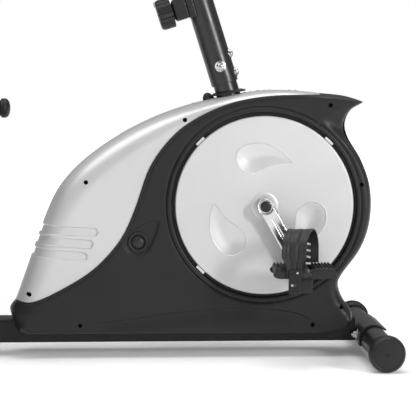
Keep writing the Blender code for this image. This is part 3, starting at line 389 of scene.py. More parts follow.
def soften(points, reach, steps=4, closed=False):
    """The same line with each corner rounded over, starting reach before it."""
    points = [Vector(p) for p in points]
    found = []
    for i, corner in enumerate(points):
        if not closed and i in (0, len(points) - 1):
            found.append(corner)
            continue
        back, on = points[i - 1] - corner, points[(i + 1) % len(points)] - corner
        near = min(reach, back.length * 0.45, on.length * 0.45)
        start, end = corner + back.normalized() * near, corner + on.normalized() * near
        for k in range(steps + 1):
            t = k / steps
            found.append(start * (1 - t) ** 2 + corner * 2 * t * (1 - t) + end * t * t)
    return found


def smooth(points, steps, closed=False):
    """Points along a rounded curve through the given ones."""
    points = [Vector(p) for p in points]
    if closed:
        padded = [points[-1], *points, points[0], points[1]]
    else:
        padded = [points[0] * 2 - points[1], *points, points[-1] * 2 - points[-2]]
    found = []
    for a, b, c, d in zip(padded, padded[1:], padded[2:], padded[3:]):
        for step in range(steps):
            t = step / steps
            curve = b * 2 + (c - a) * t + (a * 2 - b * 5 + c * 4 - d) * t * t
            found.append((curve + (b * 3 - a - c * 3 + d) * t ** 3) * 0.5)
    return found if closed else found + [points[-1]]


def spaced(points, gap, closed=False):
    """Points at even steps along a line. Only the first two numbers of a point count as its place."""
    line = np.array([tuple(p) for p in points], float)
    if closed:
        line = np.vstack([line, line[:1]])
    along = np.concatenate([[0], np.cumsum(np.hypot(*np.diff(line[:, :2], axis=0).T))])
    count = max(2, int(round(along[-1] / gap)) + 1)
    wanted = np.linspace(0, along[-1], count)
    found = np.stack([np.interp(wanted, along, column) for column in line.T], axis=1)
    return found[:-1] if closed else found


def circle(centre, radius, count):
    angles = np.arange(count) * 2 * math.pi / count
    return np.stack([centre[0] + radius * np.cos(angles), centre[1] + radius * np.sin(angles)], axis=1)


def lathe(name, profile, place, axis, steps=64, ring=False, flute=None, edge=0.0):
    """A (radius, height) outline turned about axis through place. flute changes the radius by angle."""
    if edge:
        profile = soften([(*p, 0) for p in profile], edge, 3, closed=ring)
    profile = [(p[0], p[1]) for p in profile]
    put = Matrix.Translation(place) @ Vector(axis).to_track_quat("Z", "Y").to_matrix().to_4x4()
    points, rows, faces = [], [], []
    for radius, height in profile:
        if radius < 1e-7:
            rows.append([len(points)] * steps)
            points.append(put @ Vector((0, 0, height)))
            continue
        rows.append(list(range(len(points), len(points) + steps)))
        for i in range(steps):
            a = 2 * math.pi * i / steps
            r = flute(a, radius, height) if flute else radius
            points.append(put @ Vector((r * math.cos(a), r * math.sin(a), height)))
    pairs = list(zip(rows, rows[1:])) + ([(rows[-1], rows[0])] if ring else [])
    for one, two in pairs:
        for i in range(steps):
            j = (i + 1) % steps
            face = list(dict.fromkeys((one[i], one[j], two[j], two[i])))
            if len(face) > 2:
                faces.append(face)
    return solid(name, points, faces)


def sweep(name, path, section, side=ALONG_Y, closed=False):
    """A closed section, (across, out), carried along a path. side is the way across at its start."""
    path = [Vector(p) for p in path]
    count = len(path)
    points, faces = [], []
    across = Vector(side)
    for i, place in enumerate(path):
        if closed:
            way = (path[(i + 1) % count] - path[i - 1]).normalized()
        else:
            way = (path[min(i + 1, count - 1)] - path[max(i - 1, 0)]).normalized()
        across = (across - way * across.dot(way)).normalized()
        out = way.cross(across)
        points += [place + across * u + out * v for u, v, *_ in section]
    size = len(section)
    for i in range(count if closed else count - 1):
        one, two = i * size, ((i + 1) % count) * size
        for k in range(size):
            m = (k + 1) % size
            faces.append((one + k, one + m, two + m, two + k))
    if not closed:
        faces += [tuple(range(size)), tuple(range((count - 1) * size, count * size))]
    return solid(name, points, faces)


def round_section(radius, steps=28):
    angles = [2 * math.pi * i / steps for i in range(steps)]
    return [(radius * math.cos(a), radius * math.sin(a)) for a in angles]


def box_section(width, height, corner):
    x, y = width / 2, height / 2
    return soften([(x, y, 0), (-x, y, 0), (-x, -y, 0), (x, -y, 0)], corner, 4, closed=True)


def block(name, size, place, turn=0.0, edge=0.002, segments=3):
    """A box with rounded edges about its centre, turned about Y."""
    half = Vector(size) / 2
    put = Matrix.Translation(place) @ Matrix.Rotation(turn, 4, "Y")
    signs = [(x, y, z) for x in (-1, 1) for y in (-1, 1) for z in (-1, 1)]
    points = [put @ Vector((x * half.x, y * half.y, z * half.z)) for x, y, z in signs]
    faces = [(0, 1, 3, 2), (4, 6, 7, 5), (0, 4, 5, 1), (2, 3, 7, 6), (0, 2, 6, 4), (1, 5, 7, 3)]
    return bevel(solid(name, points, faces), edge, segments)


def slab(name, outline, near, far, place, edge=0.001, segments=3):
    """A flat outline, (forward, up) from place, as thick as from near to far along Y."""
    count = len(outline)
    points = [place + Vector((p[0], y, p[1])) for y in (near, far) for p in outline]
    faces = [tuple(range(count)), tuple(range(count, 2 * count))]
    faces += [(i, (i + 1) % count, count + (i + 1) % count, count + i) for i in range(count)]
    made = solid(name, points, faces)
    return bevel(made, edge, segments, 50) if edge else made


def on_mast(along, back=0.0, side=0.0):
    return AXLE + MAST * along + MAST_BACK * back + ALONG_Y * side


def button_head(name, place, axis, radius, rise, washer=1.35, under=0.003):
    """A domed screw with a hexagon socket on its washer."""
    profile = [
        (0, rise), (radius * 0.5, rise * 0.96), (radius * 0.86, rise * 0.66), (radius, rise * 0.2),
        (radius, 0.0012), (radius * washer, 0.0010), (radius * washer, 0), (radius * 0.5, 0),
        (radius * 0.5, -under), (0, -under),
    ]
    head = lathe(name, profile, place, axis, 32)
    socket = lathe(name + "_socket", [(0, rise + 0.002), (radius * 0.48, rise + 0.002),
                                      (radius * 0.48, rise * 0.35), (0, rise * 0.35)], place, axis, 6)
    return cut(head, socket)


def hex_nut(name, place, axis, radius, rise, domed=True):
    """A hexagon nut on a round washer, with a dome where it closes the thread."""
    nut = lathe(name, [(0, rise), (radius * 0.9, rise), (radius, rise - 0.0008), (radius, 0.0012), (0, 0.0012)],
                place, axis, 6)
    washer = lathe(name + "_washer", [(0, 0.0014), (radius * 1.45, 0.0014), (radius * 1.45, 0), (0, 0)],
                   place, axis, 32)
    parts = [washer]
    if domed:
        dome = [(0, rise + radius * 0.75), (radius * 0.45, rise + radius * 0.62),
                (radius * 0.72, rise + radius * 0.25), (radius * 0.76, rise - 0.001), (0, rise - 0.001)]
        parts.append(lathe(name + "_dome", dome, place, axis, 32))
    return fuse(nut, *parts)


# ---- Housing -------------------------------------------------------------------------------------

def distance(points, line, closed=False):
    """How far each point is from a line, and the line's third number at the nearest place."""
    line = np.asarray(line, float)
    if closed:
        line = np.vstack([line, line[:1]])
    best = np.full(len(points), 9.0)
    carried = np.zeros(len(points))
    for start, end in zip(line, line[1:]):
        way = end[:2] - start[:2]
        t = np.clip(((points - start[:2]) @ way) / max(way @ way, 1e-12), 0, 1)
        gap = np.hypot(*(points - start[:2] - t[:, None] * way).T)
        nearer = gap < best
        best = np.where(nearer, gap, best)
        if len(start) > 2:
            carried = np.where(nearer, start[2] + (end[2] - start[2]) * t, carried)
    return best, carried


def inside(points, loop):
    x, z = points[:, 0], points[:, 1]
    odd = np.zeros(len(points), bool)
    for (x0, z0), (x1, z1) in zip(loop[:, :2], np.roll(loop[:, :2], -1, axis=0)):
        if z0 != z1:
            odd ^= ((z0 > z) != (z1 > z)) & (x < (x1 - x0) * (z - z0) / (z1 - z0) + x0)
    return odd


def step(value, start, end):
    t = np.clip((value - start) / (end - start), 0, 1)
    return t * t * (3 - 2 * t)


def shoulder(gap, width, height):
    """Height of the rounded edge at a distance in from the outline: none at it, full past its width."""
    return height * (1 - (1 - np.clip(gap / width, 0, 1)) ** 2.6) ** (1 / 2.6)


def inset(line, gap):
    """The line moved to its right by gap."""
    line = np.asarray(line, float)
    along = np.vstack([line[1:, :2], line[-1:, :2]]) - np.vstack([line[:1, :2], line[:-1, :2]])
    along /= np.linalg.norm(along, axis=1)[:, None]
    moved = line.copy()
    moved[:, :2] += np.stack([along[:, 1], -along[:, 0]], axis=1) * gap
    return moved


CREST_LINE = spaced(smooth(CREST, 6), 0.003)
OUTLINE = spaced([*smooth(FRONT, 6), *smooth(REAR, 6)], 0.003)
SEAM_LINE = spaced(smooth([(*p, 0) for p in SEAM], 6), 0.003)[:, :2]
NOSE = np.vstack([OUTLINE[OUTLINE[:, 0] < -0.3], CREST_LINE, OUTLINE[OUTLINE[:, 0] >= -0.3]])
SILHOUETTE = np.vstack([CREST_LINE, OUTLINE])
CREASE_LINE = spaced(smooth([(*p, 0) for p in LOWER_CREASE], 6), 0.003)[:, :2]
BEAK_LINE = spaced(smooth([(*p, 0) for p in BEAK_CREASE], 4), 0.003)[:, :2]
DROP_LOOP = spaced(smooth([(*p, 0) for p in DROP], 6, closed=True), 0.002, closed=True)[:, :2]
RECESS = spaced(smooth([(*(PLUG_AT + p), 0) for p in (
    (0.024, -0.010), (0.012, -0.024), (-0.006, -0.0265), (-0.022, -0.016), (-0.0265, 0.002),
    (-0.017, 0.020), (0.004, 0.0315), (0.026, 0.0415), (0.0385, 0.0425), (0.039, 0.030), (0.033, 0.010))],
    6, closed=True), 0.002, closed=True)[:, :2]


def shell_height(points):
    gap, width = distance(points, CREST_LINE)
    return shoulder(gap, width, SHELL_Y)


def below(points, line):
    """How far each point is under a line that runs from left to right."""
    return np.interp(points[:, 0], line[:, 0], line[:, 1]) - points[:, 1]


def cover_height(points, plug):
    gap, width = distance(points, SILHOUETTE)
    height = shoulder(gap, width, COVER_Y)
    radius = np.hypot(points[:, 0], points[:, 1])
    height += (COVER_Y - height) * step(radius, 0.194, 0.181)
    drop = below(points, CREASE_LINE)
    fade = step(points[:, 0], -0.345, -0.29) * step(points[:, 0], 0.108, 0.075)
    height -= 0.0026 * step(drop, 0, 0.0022) * (1 - step(drop, 0.006, 0.034)) * fade
    under = below(points, BEAK_LINE)
    in_beak = step(points[:, 0], 0.095, 0.108) * step(radius, 0.186, 0.199) * step(points[:, 1], 0.085, 0.135)
    height -= in_beak * np.clip(under * 0.34, 0, 0.012) * step(under, 0, 0.002)
    lip = 1 - np.clip(np.abs(radius - 0.1763) / 0.0043, 0, 1) ** 3
    height += 0.0040 * lip ** (1 / 3)
    height -= 0.0010 * (1 - step(np.abs(radius - 0.1828), 0, 0.0016))
    seam, _ = distance(points, SEAM_LINE)
    rolled = 1 - np.clip(seam / 0.0024, 0, 1)
    height -= 0.0024 * (1 - np.sqrt(1 - rolled ** 2))
    height -= 0.0009 * (1 - step(np.abs(seam - 0.0052), 0, 0.0014))
    if plug:
        edge, _ = distance(points, RECESS, closed=True)
        deep = np.where(inside(points, RECESS), step(edge, 0, 0.0035), 0)
        height -= 0.0032 * deep
        around = np.hypot(*(points - PLUG_AT).T)
        ring = 1 - np.clip(np.abs(around - 0.0165) / 0.0036, 0, 1) ** 2.5
        height += 0.0030 * ring ** (1 / 2.5)
    return height


def triangles(loops, marks, gap):
    """Triangles inside the first loop and outside the others, through the marks, gap apart elsewhere."""
    fixed = np.vstack([loop[:, :2] for loop in loops])
    marks = [m[:, :2] for m in marks if len(m)]
    marked = np.vstack([fixed, *marks]) if marks else fixed
    lowest, highest = fixed.min(0), fixed.max(0)
    rows = np.arange(lowest[1], highest[1], gap * 0.866)
    grid = np.array([(x + (j % 2) * gap / 2, z)
                     for j, z in enumerate(rows) for x in np.arange(lowest[0], highest[0], gap)])
    extra = np.vstack([np.vstack(marks), grid]) if marks else grid
    keep = inside(extra, loops[0])
    for loop in loops[1:]:
        keep &= ~inside(extra, loop)
    border = kdtree.KDTree(len(fixed))
    for i, p in enumerate(fixed):
        border.insert((*p, 0), i)
    border.balance()
    tree = kdtree.KDTree(len(marked))
    for i, p in enumerate(marked):
        tree.insert((*p, 0), i)
    tree.balance()
    lines = len(extra) - len(grid)
    for i, p in enumerate(extra):
        if keep[i]:
            near = border.find((*p, 0))[2] if i < lines else tree.find((*p, 0))[2]
            keep[i] = near > (0.0003 if i < lines else gap * 0.55)
    points = np.vstack([fixed, extra[keep]])
    edges, start = [], 0
    for loop in loops:
        edges += [(start + i, start + (i + 1) % len(loop)) for i in range(len(loop))]
        start += len(loop)
    found = delaunay_2d_cdt([Vector(p) for p in points], edges, [], 0, 1e-7)
    flat = np.array([tuple(p) for p in found[0]])
    faces = np.array(found[2])
    centres = flat[faces].mean(axis=1)
    good = inside(centres, loops[0])
    for loop in loops[1:]:
        good &= ~inside(centres, loop)
    where = {old: new for new, olds in enumerate(found[3]) for old in olds}
    return flat, faces[good], [where[i] for i in range(len(fixed))]


def skin(name, sign, loops, marks, gap, height, walls, place=AXLE):
    """A sheet at height from the middle plane, with each loop's edge carried on by its walls.

    walls gives for each loop a function of (loop, heights) that returns rows of (points, heights).
    """
    flat, faces, border = triangles(loops, marks, gap)
    depth = height(flat)
    points = [(p[0], y, p[1]) for p, y in zip(flat, depth)]
    faces = [tuple(int(i) for i in f) for f in faces]
    start = 0
    for loop, wall in zip(loops, walls):
        ids = border[start:start + len(loop)]
        start += len(loop)
        for row, row_depth in wall(loop, depth[ids]):
            first = len(points)
            points += [(p[0], y, p[1]) for p, y in zip(row, row_depth)]
            new = list(range(first, first + len(row)))
            faces += [(ids[i], ids[(i + 1) % len(ids)], new[(i + 1) % len(ids)], new[i])
                      for i in range(len(ids))]
            ids = new
    made = solid(name, [place + Vector((p[0], sign * p[1], p[2])) for p in points], faces)
    return facing_out(made, sign)


def facing_out(obj, sign):
    """Turns an open sheet's faces round if its broad side faces the middle plane."""
    mesh = obj.data
    if sum(f.normal.y * f.area for f in mesh.polygons) * sign < 0:
        mesh.flip_normals()
    return obj


def pit(centre, radius, depth):
    """A round recess: its loop, and the wall that carries it down to a floor."""
    loop = circle(centre, radius, 20)

    def wall(_, heights):
        heights = np.asarray(heights)
        level = heights.mean()
        inner = centre + (loop - centre) * 0.93
        yield loop, heights - 0.0012
        yield inner, np.full(20, level - depth)
        yield centre + (loop - centre) * 0.5, np.full(20, level - depth)
        yield centre + (loop - centre) * 0.02, np.full(20, level - depth)

    return loop, wall


def make_cover(side, sign):
    rim = inset(OUTLINE, 0.003)
    border = np.vstack([rim[:, :2], SEAM_LINE])
    widths = OUTLINE[:, 2]
    floor = np.where(OUTLINE[:, 1] < 0.0715 - AXLE.z, 0.0315, 0.0002)
    rows = [0.003 * (1 - k / 9) ** 3 for k in range(1, 10)]
    sill = shell_height(SEAM_LINE) + 0.0003

    def outer(_, heights):
        top = heights[len(rim):]
        for k, gap in enumerate(rows, 1):
            edge = inset(OUTLINE, gap)[:, :2]
            drop = np.maximum(shoulder(np.full(len(rim), gap), widths, COVER_Y), floor)
            low_edge = np.minimum(sill, top - 0.0008)
            yield np.vstack([edge, SEAM_LINE]), np.concatenate([drop, top + (low_edge - top) * k / 9])

    def hole(loop, heights):
        around = loop / HOLE_R
        for radius, y in ((HOLE_R, 0.0645), (HOLE_R, 0.0615), (0.1716, 0.0592), (0.1704, 0.0586), (0.157, 0.0586)):
            yield around * radius, np.full(len(loop), y)

    loops, walls = [border, circle((0, 0), HOLE_R, 360)], [outer, hole]
    marks = [circle((0, 0), r, 360) for r in (0.1724, 0.1734, 0.1748, 0.1763, 0.1778, 0.1792, 0.1802, 0.1812,
                                             0.1828, 0.1844, 0.188)]
    marks += [inset(SEAM_LINE, gap) for gap in (0.0004, 0.0010, 0.0017, 0.0024, 0.0038, 0.0052, 0.0066)]
    marks += [inset(OUTLINE, gap) for gap in (0.0045, 0.0065, 0.009, 0.012)]
    marks += [inset(CREASE_LINE, gap) for gap in (-0.0012, 0, 0.0011, 0.0022, 0.006)]
    marks += [inset(BEAK_LINE, gap) for gap in (-0.0015, 0, 0.001, 0.002, 0.0045)]
    for centre in COVER_SCREWS:
        loop, wall = pit(np.array(centre), 0.0042, 0.006)
        loops.append(loop)
        walls.append(wall)
        marks.append(circle(centre, 0.0056, 24))
    if sign < 0:
        marks += [circle(PLUG_AT, r, 56) for r in (0.0132, 0.0142, 0.0155, 0.0168, 0.0181, 0.0192, 0.0201)]
        marks += [RECESS, *(RECESS + (PLUG_AT + (0.004, 0.003) - RECESS) * k for k in (0.05, 0.1, 0.16))]
        plug = circle(PLUG_AT, 0.0123, 48)
        loops.append(plug)
        walls.append(lambda loop, heights: ((loop, heights - 0.001), (loop, heights * 0 + COVER_Y - 0.009)))
    made = skin("black_cover_" + side, sign, loops, marks, 0.0055,
                lambda p: cover_height(p, sign < 0), walls)
    piece(thicken(made, 0.0012), "frame", COVER_BLACK, "black_cover_" + side, angle=50)


def make_shell(side, sign):
    """The silver half: rows from the middle plane over the crest and down to under the black cover."""
    crest = spaced(smooth(CREST, 8), 0.0005)
    lap = spaced(smooth([(*p, 0) for p in SEAM], 8), 0.0005)
    lap = inset(lap, 0.010)[:, :2]
    length = np.concatenate([[0], np.cumsum(np.hypot(*np.diff(crest[:, :2], axis=0).T))])
    steps, at = [0.0], 0.0
    while at < length[-1]:
        z = np.interp(at, length, crest[:, 1])
        at += 0.0009 if -0.102 < z < -0.030 and at < 0.3 else 0.0034
        steps.append(min(at, length[-1]))
    crest_at = np.array([0, np.argmax(crest[:, 1] > -0.095), np.argmax(crest[:, 1] > -0.035), len(crest) - 1])
    lap_at = np.array([0, np.argmax(lap[:, 1] > -0.107), np.argmax(lap[:, 1] > -0.044), len(lap) - 1])
    across = 84
    share = (np.arange(across + 1) / across) ** 2.0
    flat = []
    for s in steps:
        start = np.array([np.interp(s, length, crest[:, k]) for k in (0, 1)])
        index = np.interp(s, length[crest_at], lap_at)
        end = np.array([np.interp(index, np.arange(len(lap)), lap[:, k]) for k in (0, 1)])
        flat.append(start + (end - start) * share[:, None])
    flat = np.array(flat)
    count = len(flat)
    plane = flat.reshape(-1, 2)
    y = shell_height(plane).reshape(count, across + 1)
    y[:, 0] = 0.0002
    place = np.stack([flat[..., 0], np.maximum(y, 0.0002), flat[..., 1]], axis=-1)
    normal = np.cross(np.gradient(place, axis=0), np.gradient(place, axis=1))
    normal /= np.maximum(np.linalg.norm(normal, axis=-1), 1e-12)[..., None]
    normal *= np.sign(normal[count // 2, -10, 1])
    depth = np.zeros(len(plane))
    for start, end in GROOVES:
        start, end = np.array(start), np.array(end)
        drop = np.array((0, -0.0088))
        end_centre = end + drop + np.array((-0.008, 0))
        line = np.array([start + drop + (start - end) * 0.6, end_centre])
        gap, _ = distance(plane, line)
        depth = np.maximum(depth, 0.0030 * step(gap, 0.0088, 0.0071))
    normal[:, 0, 1] = 0
    place -= normal * depth.reshape(count, across + 1)[..., None]
    width = across + 1
    faces = [(i * width + k, i * width + k + 1, (i + 1) * width + k + 1, (i + 1) * width + k)
             for i in range(count - 1) for k in range(across)]
    points = [AXLE + Vector((p[0], sign * p[1], p[2])) for p in place.reshape(-1, 3)]
    made = thicken(facing_out(solid("silver_shell_" + side, points, faces), sign), 0.0012)
    holes = [lathe("post_hole", [(0, 0.30), (POST_R + 0.003, 0.30), (POST_R + 0.003, 0.10), (0, 0.10)],
                   AXLE, MAST, 32)]
    for x, z in SHELL_SCREWS:
        level = shell_height(np.array([[x, z]]))[0]
        centre = AXLE + Vector((x, sign * level, z))
        holes.append(lathe("screw_hole", [(0, 0.02), (0.0042, 0.02), (0.0042, -0.012), (0, -0.012)],
                           centre, ALONG_Y * sign, 24))
        cup = [(0, -0.0075), (0.0041, -0.0075), (0.0041, -0.0022), (0.0056, -0.0022), (0.0056, -0.0095), (0, -0.0095)]
        name = "screw_cup_%s_%d" % (side, SHELL_SCREWS.index((x, z)) + 1)
        # The cups inside the screw holes take the extra-dark finish: painted shade in the holes.
        piece(lathe(name, cup, centre, ALONG_Y * sign, 24), "frame", RECESS_SHADE_BLACK)
    piece(cut(made, *holes), "frame", SILVER, "silver_shell_" + side, angle=38)


def make_screws(side, sign):
    """The heads down in the cover's recesses, in the extra-dark finish that paints shade there."""
    heads = []
    for x, z in COVER_SCREWS:
        level = cover_height(np.array([[x, z]]), False)[0] - 0.006
        centre = AXLE + Vector((x, sign * level, z))
        heads.append(button_head("screw", centre, ALONG_Y * sign, 0.0030, 0.0018, 1.0, 0.0004))
    piece(merge("cover_screws_" + side, *heads), "frame", RECESS_SHADE_BLACK)


def make_plug():
    centre = AXLE + Vector((PLUG_AT[0], 0, PLUG_AT[1]))
    profile = [
        (0, COVER_Y + 0.0018), (0.004, COVER_Y + 0.0016), (0.0082, COVER_Y + 0.0006), (0.0098, COVER_Y - 0.0004),
        (0.0104, COVER_Y - 0.0016), (0.0112, COVER_Y - 0.0016), (0.0119, COVER_Y - 0.0028),
        (0.0119, COVER_Y - 0.0072), (0, COVER_Y - 0.0072),
    ]
    piece(lathe("cover_plug", profile, centre, -ALONG_Y, 48), "frame", TRIM_BLACK, "cover_plug")


def make_disc(side, sign):
    """The round silver cover that turns with the cranks, with three dished drops."""
    turns = [np.array(((math.cos(a), -math.sin(a)), (math.sin(a), math.cos(a))))
             for a in (0, math.radians(120), math.radians(240))]
    drops = [DROP_LOOP @ turn.T for turn in turns]

    def height(points):
        radius = np.hypot(*points.T)
        y = np.full(len(points), DISC_Y) + 0.0014 * step(radius, 0.0250, 0.0215)
        rolled = 1 - np.clip((DISC_R - radius) / 0.0028, 0, 1)
        y -= 0.0028 * (1 - np.sqrt(1 - rolled ** 2))
        for loop in drops:
            gap, _ = distance(points, loop, closed=True)
            dish = 0.0011 * step(gap, 0, 0.0016) + 0.0048 * step(gap, 0, 0.027) ** 0.8
            y -= np.where(inside(points, loop), dish, 0)
            y += 0.0004 * (1 - step(gap, 0, 0.0014))
        return y

    def rim(loop, heights):
        for y in (0.0655, 0.0617):
            yield loop, np.full(len(loop), y)

    def bore(loop, heights):
        yield loop, np.full(len(loop), DISC_Y - 0.0015)

    marks = [circle((0, 0), r, 300) for r in (0.1653, 0.1648, 0.1640, 0.1630, 0.1615)]
    marks += [circle((0, 0), r, 60) for r in (0.0205, 0.0220, 0.0235, 0.0250, 0.0265)]
    for loop in drops:
        centre = loop.mean(0)
        for share in (-0.03, -0.016, 0, 0.016, 0.03, 0.05, 0.09):
            marks.append(loop + (centre - loop) * share)
    loops = [circle((0, 0), DISC_R, 360), circle((0, 0), 0.0104, 40)]
    made = skin("crank_disc_" + side, sign, loops, marks, 0.005, height, [rim, bore])
    piece(thicken(made, 0.0013), "crank", DISC_SILVER, "crank_disc_" + side, angle=40)
    clips = []
    for angle in (45, 135, 225, 315):
        a = math.radians(angle)
        way = Vector((math.cos(a), 0, math.sin(a)))
        place = AXLE + way * 0.1683 + ALONG_Y * sign * 0.0668
        clip = block("clip", (0.0048, 0.0070, 0.019), Vector((0, 0, 0)), 0, 0.0008, 2)
        clip.data.transform(Matrix.Translation(place) @ Matrix.Rotation(-a, 4, "Y"))
        clips.append(clip)
    piece(merge("disc_clips_" + side, *clips), "crank", DISC_SILVER)


# ---- Cranks and pedals ---------------------------------------------------------------------------

def make_crank_arm(side, sign):
    arm_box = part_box("pedal_spindle_" + side)
    eye = (arm_box[0] + arm_box[1]) / 2
    reach = Vector((eye.x - AXLE.x, 0, eye.z - AXLE.z))
    heading = math.atan2(reach.z, reach.x)
    near, far = 0.0842, 0.0958
    outline = []
    for centre, radius, start in ((Vector((0, 0, 0)), 0.0150, heading + math.pi / 2), (reach, 0.0140, heading - math.pi / 2)):
        for k in range(25):
            a = start + math.pi * k / 24
            outline.append((centre.x + radius * math.cos(a), centre.z + radius * math.sin(a)))
    arm = slab("crank_arm_" + side, outline, sign * near, sign * far, AXLE, 0.0042, 6)
    across = Vector((-reach.normalized().z, 0, reach.normalized().x))
    groove = [AXLE + reach * k + ALONG_Y * sign * (far + 0.0030) for k in (0.22, 0.5, 0.80)]
    arm = cut(arm, sweep("arm_groove", groove, box_section(0.0085, 0.0085, 0.0036), across))
    boss = [(0, 0.1005), (0.0118, 0.1005), (0.0122, 0.0990), (0.0150, 0.1000), (0.0158, 0.0985),
            (0.0158, 0.0757), (0.0150, 0.0750), (0, 0.0750)]
    arm = fuse(arm, lathe("crank_boss", boss, AXLE, ALONG_Y * sign, 64, edge=0.0006))
    eye_place = AXLE + reach
    ring = [(0, far + 0.0010), (0.0128, far + 0.0010), (0.0136, far - 0.001), (0.0136, near + 0.002), (0, near + 0.002)]
    arm = fuse(arm, lathe("pedal_eye", ring, eye_place, ALONG_Y * sign, 48))
    piece(arm, "crank", CHROME, "crank_arm_" + side, angle=30)
    cap = [(0, 0.1022), (0.0060, 0.1020), (0.0098, 0.1012), (0.0112, 0.1000), (0.0112, 0.0985), (0, 0.0985)]
    piece(lathe("crank_cap_" + side, cap, AXLE, ALONG_Y * sign, 48), "crank", TRIM_BLACK)
    spindle = [
        (0, 0.1905), (0.0052, 0.1905), (0.0068, 0.1885), (0.0068, 0.1035), (0.0082, 0.1025), (0.0082, 0.0990),
        (0.0108, 0.0985), (0.0108, 0.0965), (0.0066, 0.0965), (0.0066, 0.0848), (0, 0.0848),
    ]
    piece(lathe("pedal_spindle_" + side, spindle, eye_place, ALONG_Y * sign, 40), "crank", ZINC,
          "pedal_spindle_" + side)
    return eye_place


def tread(name, outline, centre, sign, near, far):
    return slab(name, outline, sign * near, sign * far, centre, 0.0012, 2)


def make_pedal(side, sign, axle):
    """Cage of two grip blocks and side plates round the barrel, over the weight that keeps it level."""
    near, far = 0.1135, 0.2025
    front = [(0.004, -0.0090), (0.010, -0.0112), (0.046, -0.0108), (0.0545, -0.0085), (0.0568, -0.0035),
             (0.0560, 0.0012), (0.051, 0.0034), (0.022, 0.0034), (0.014, 0.0024), (0.007, -0.002)]
    front = [(p.x, p.y) for p in soften([(*p, 0) for p in front], 0.003, 2, closed=True)]
    rear = [(-0.022, -0.0106), (-0.046, -0.0106), (-0.0545, -0.0080), (-0.0568, -0.0035), (-0.0552, 0.0012),
            (-0.049, 0.0034), (-0.022, 0.0034)]
    rear = [(p.x, p.y) for p in soften([(*p, 0) for p in rear], 0.003, 2, closed=True)]
    lobes = [
        slab("lobe", front, sign * (far - 0.012), sign * far, axle, 0.0014, 2),
        slab("lobe", front, sign * near, sign * (near + 0.010), axle, 0.0014, 2),
        slab("lobe", rear, sign * (far - 0.012), sign * far, axle, 0.0014, 2),
        slab("lobe", rear, sign * near, sign * (near + 0.010), axle, 0.0014, 2),
    ]
    bars = []
    for x, width in ((0.0345, 0.0360), (-0.0365, 0.0320)):
        bars.append(block("pad", (width, far - near - 0.0070, 0.0145), axle + Vector((x, sign * (near + far) / 2, 0.0005)),
                          0, 0.0035, 4))
    for x in (-0.012, 0.010):
        bars.append(block("web", (0.030, 0.008, 0.012), axle + Vector((x, sign * (near + 0.006), 0)), 0, 0.001, 2))
        bars.append(block("web", (0.030, 0.008, 0.012), axle + Vector((x, sign * (far - 0.0065), 0)), 0, 0.001, 2))
    barrel = [(0.0102, far - 0.001), (0.0102, near + 0.0010), (0.0074, near + 0.0010), (0.0074, far - 0.001)]
    body = lathe("pedal_" + side, barrel, axle, ALONG_Y * sign, 40, ring=True)
    weight = block("weight", (0.029, 0.066, 0.030), axle + Vector((0, sign * 0.158, -0.023)), 0, 0.0025, 3)
    hole = lathe("weight_hole", [(0, 0.3), (0.0074, 0.3), (0.0074, 0.05), (0, 0.05)], axle, ALONG_Y * sign, 32)
    body = cut(fuse(body, *lobes, *bars, weight), hole)
    piece(body, "pedal_" + side, TREAD, "pedal_" + side, angle=40)
    teeth = []
    for start, end in ((0.0200, 0.0495), (-0.0490, -0.0240)):
        for x in np.linspace(start, end, int((end - start) / 0.0058) + 1):
            for y in np.linspace(near + 0.0085, far - 0.0085, 11):
                top = [(x - 0.0019, 0.0066), (x + 0.0019, 0.0066), (x + 0.0011, 0.0106), (x - 0.0011, 0.0106)]
                teeth.append(slab("tooth", top, sign * (y - 0.0026), sign * (y + 0.0026), axle, 0.0005, 1))
    piece(merge("pedal_teeth_" + side, *teeth), "pedal_" + side, TREAD)
    bolts = []
    for x, radius in ((0.0085, 0.0036), (-0.0050, 0.0030)):
        place = axle + ALONG_Y * sign * far + Vector((x, 0, -0.0045))
        bolts.append(button_head("bolt", place, ALONG_Y * sign, radius, 0.0022, 1.1, 0.001))
    piece(merge("pedal_bolts_" + side, *bolts), "pedal_" + side, TRIM_BLACK)
    outer_end = abs(low("pedal_spindle_right").y)
    dust_cap = [(0, 0.0026), (0.0060, 0.0022), (0.0086, 0.0008), (0.0092, -0.0004), (0.0092, -0.0010), (0, -0.0010)]
    cap_at = axle + ALONG_Y * sign * (max(outer_end, far) + 0.0012)
    piece(lathe("pedal_cap_" + side, dust_cap, cap_at, ALONG_Y * sign, 40), "pedal_" + side, TRIM_BLACK)


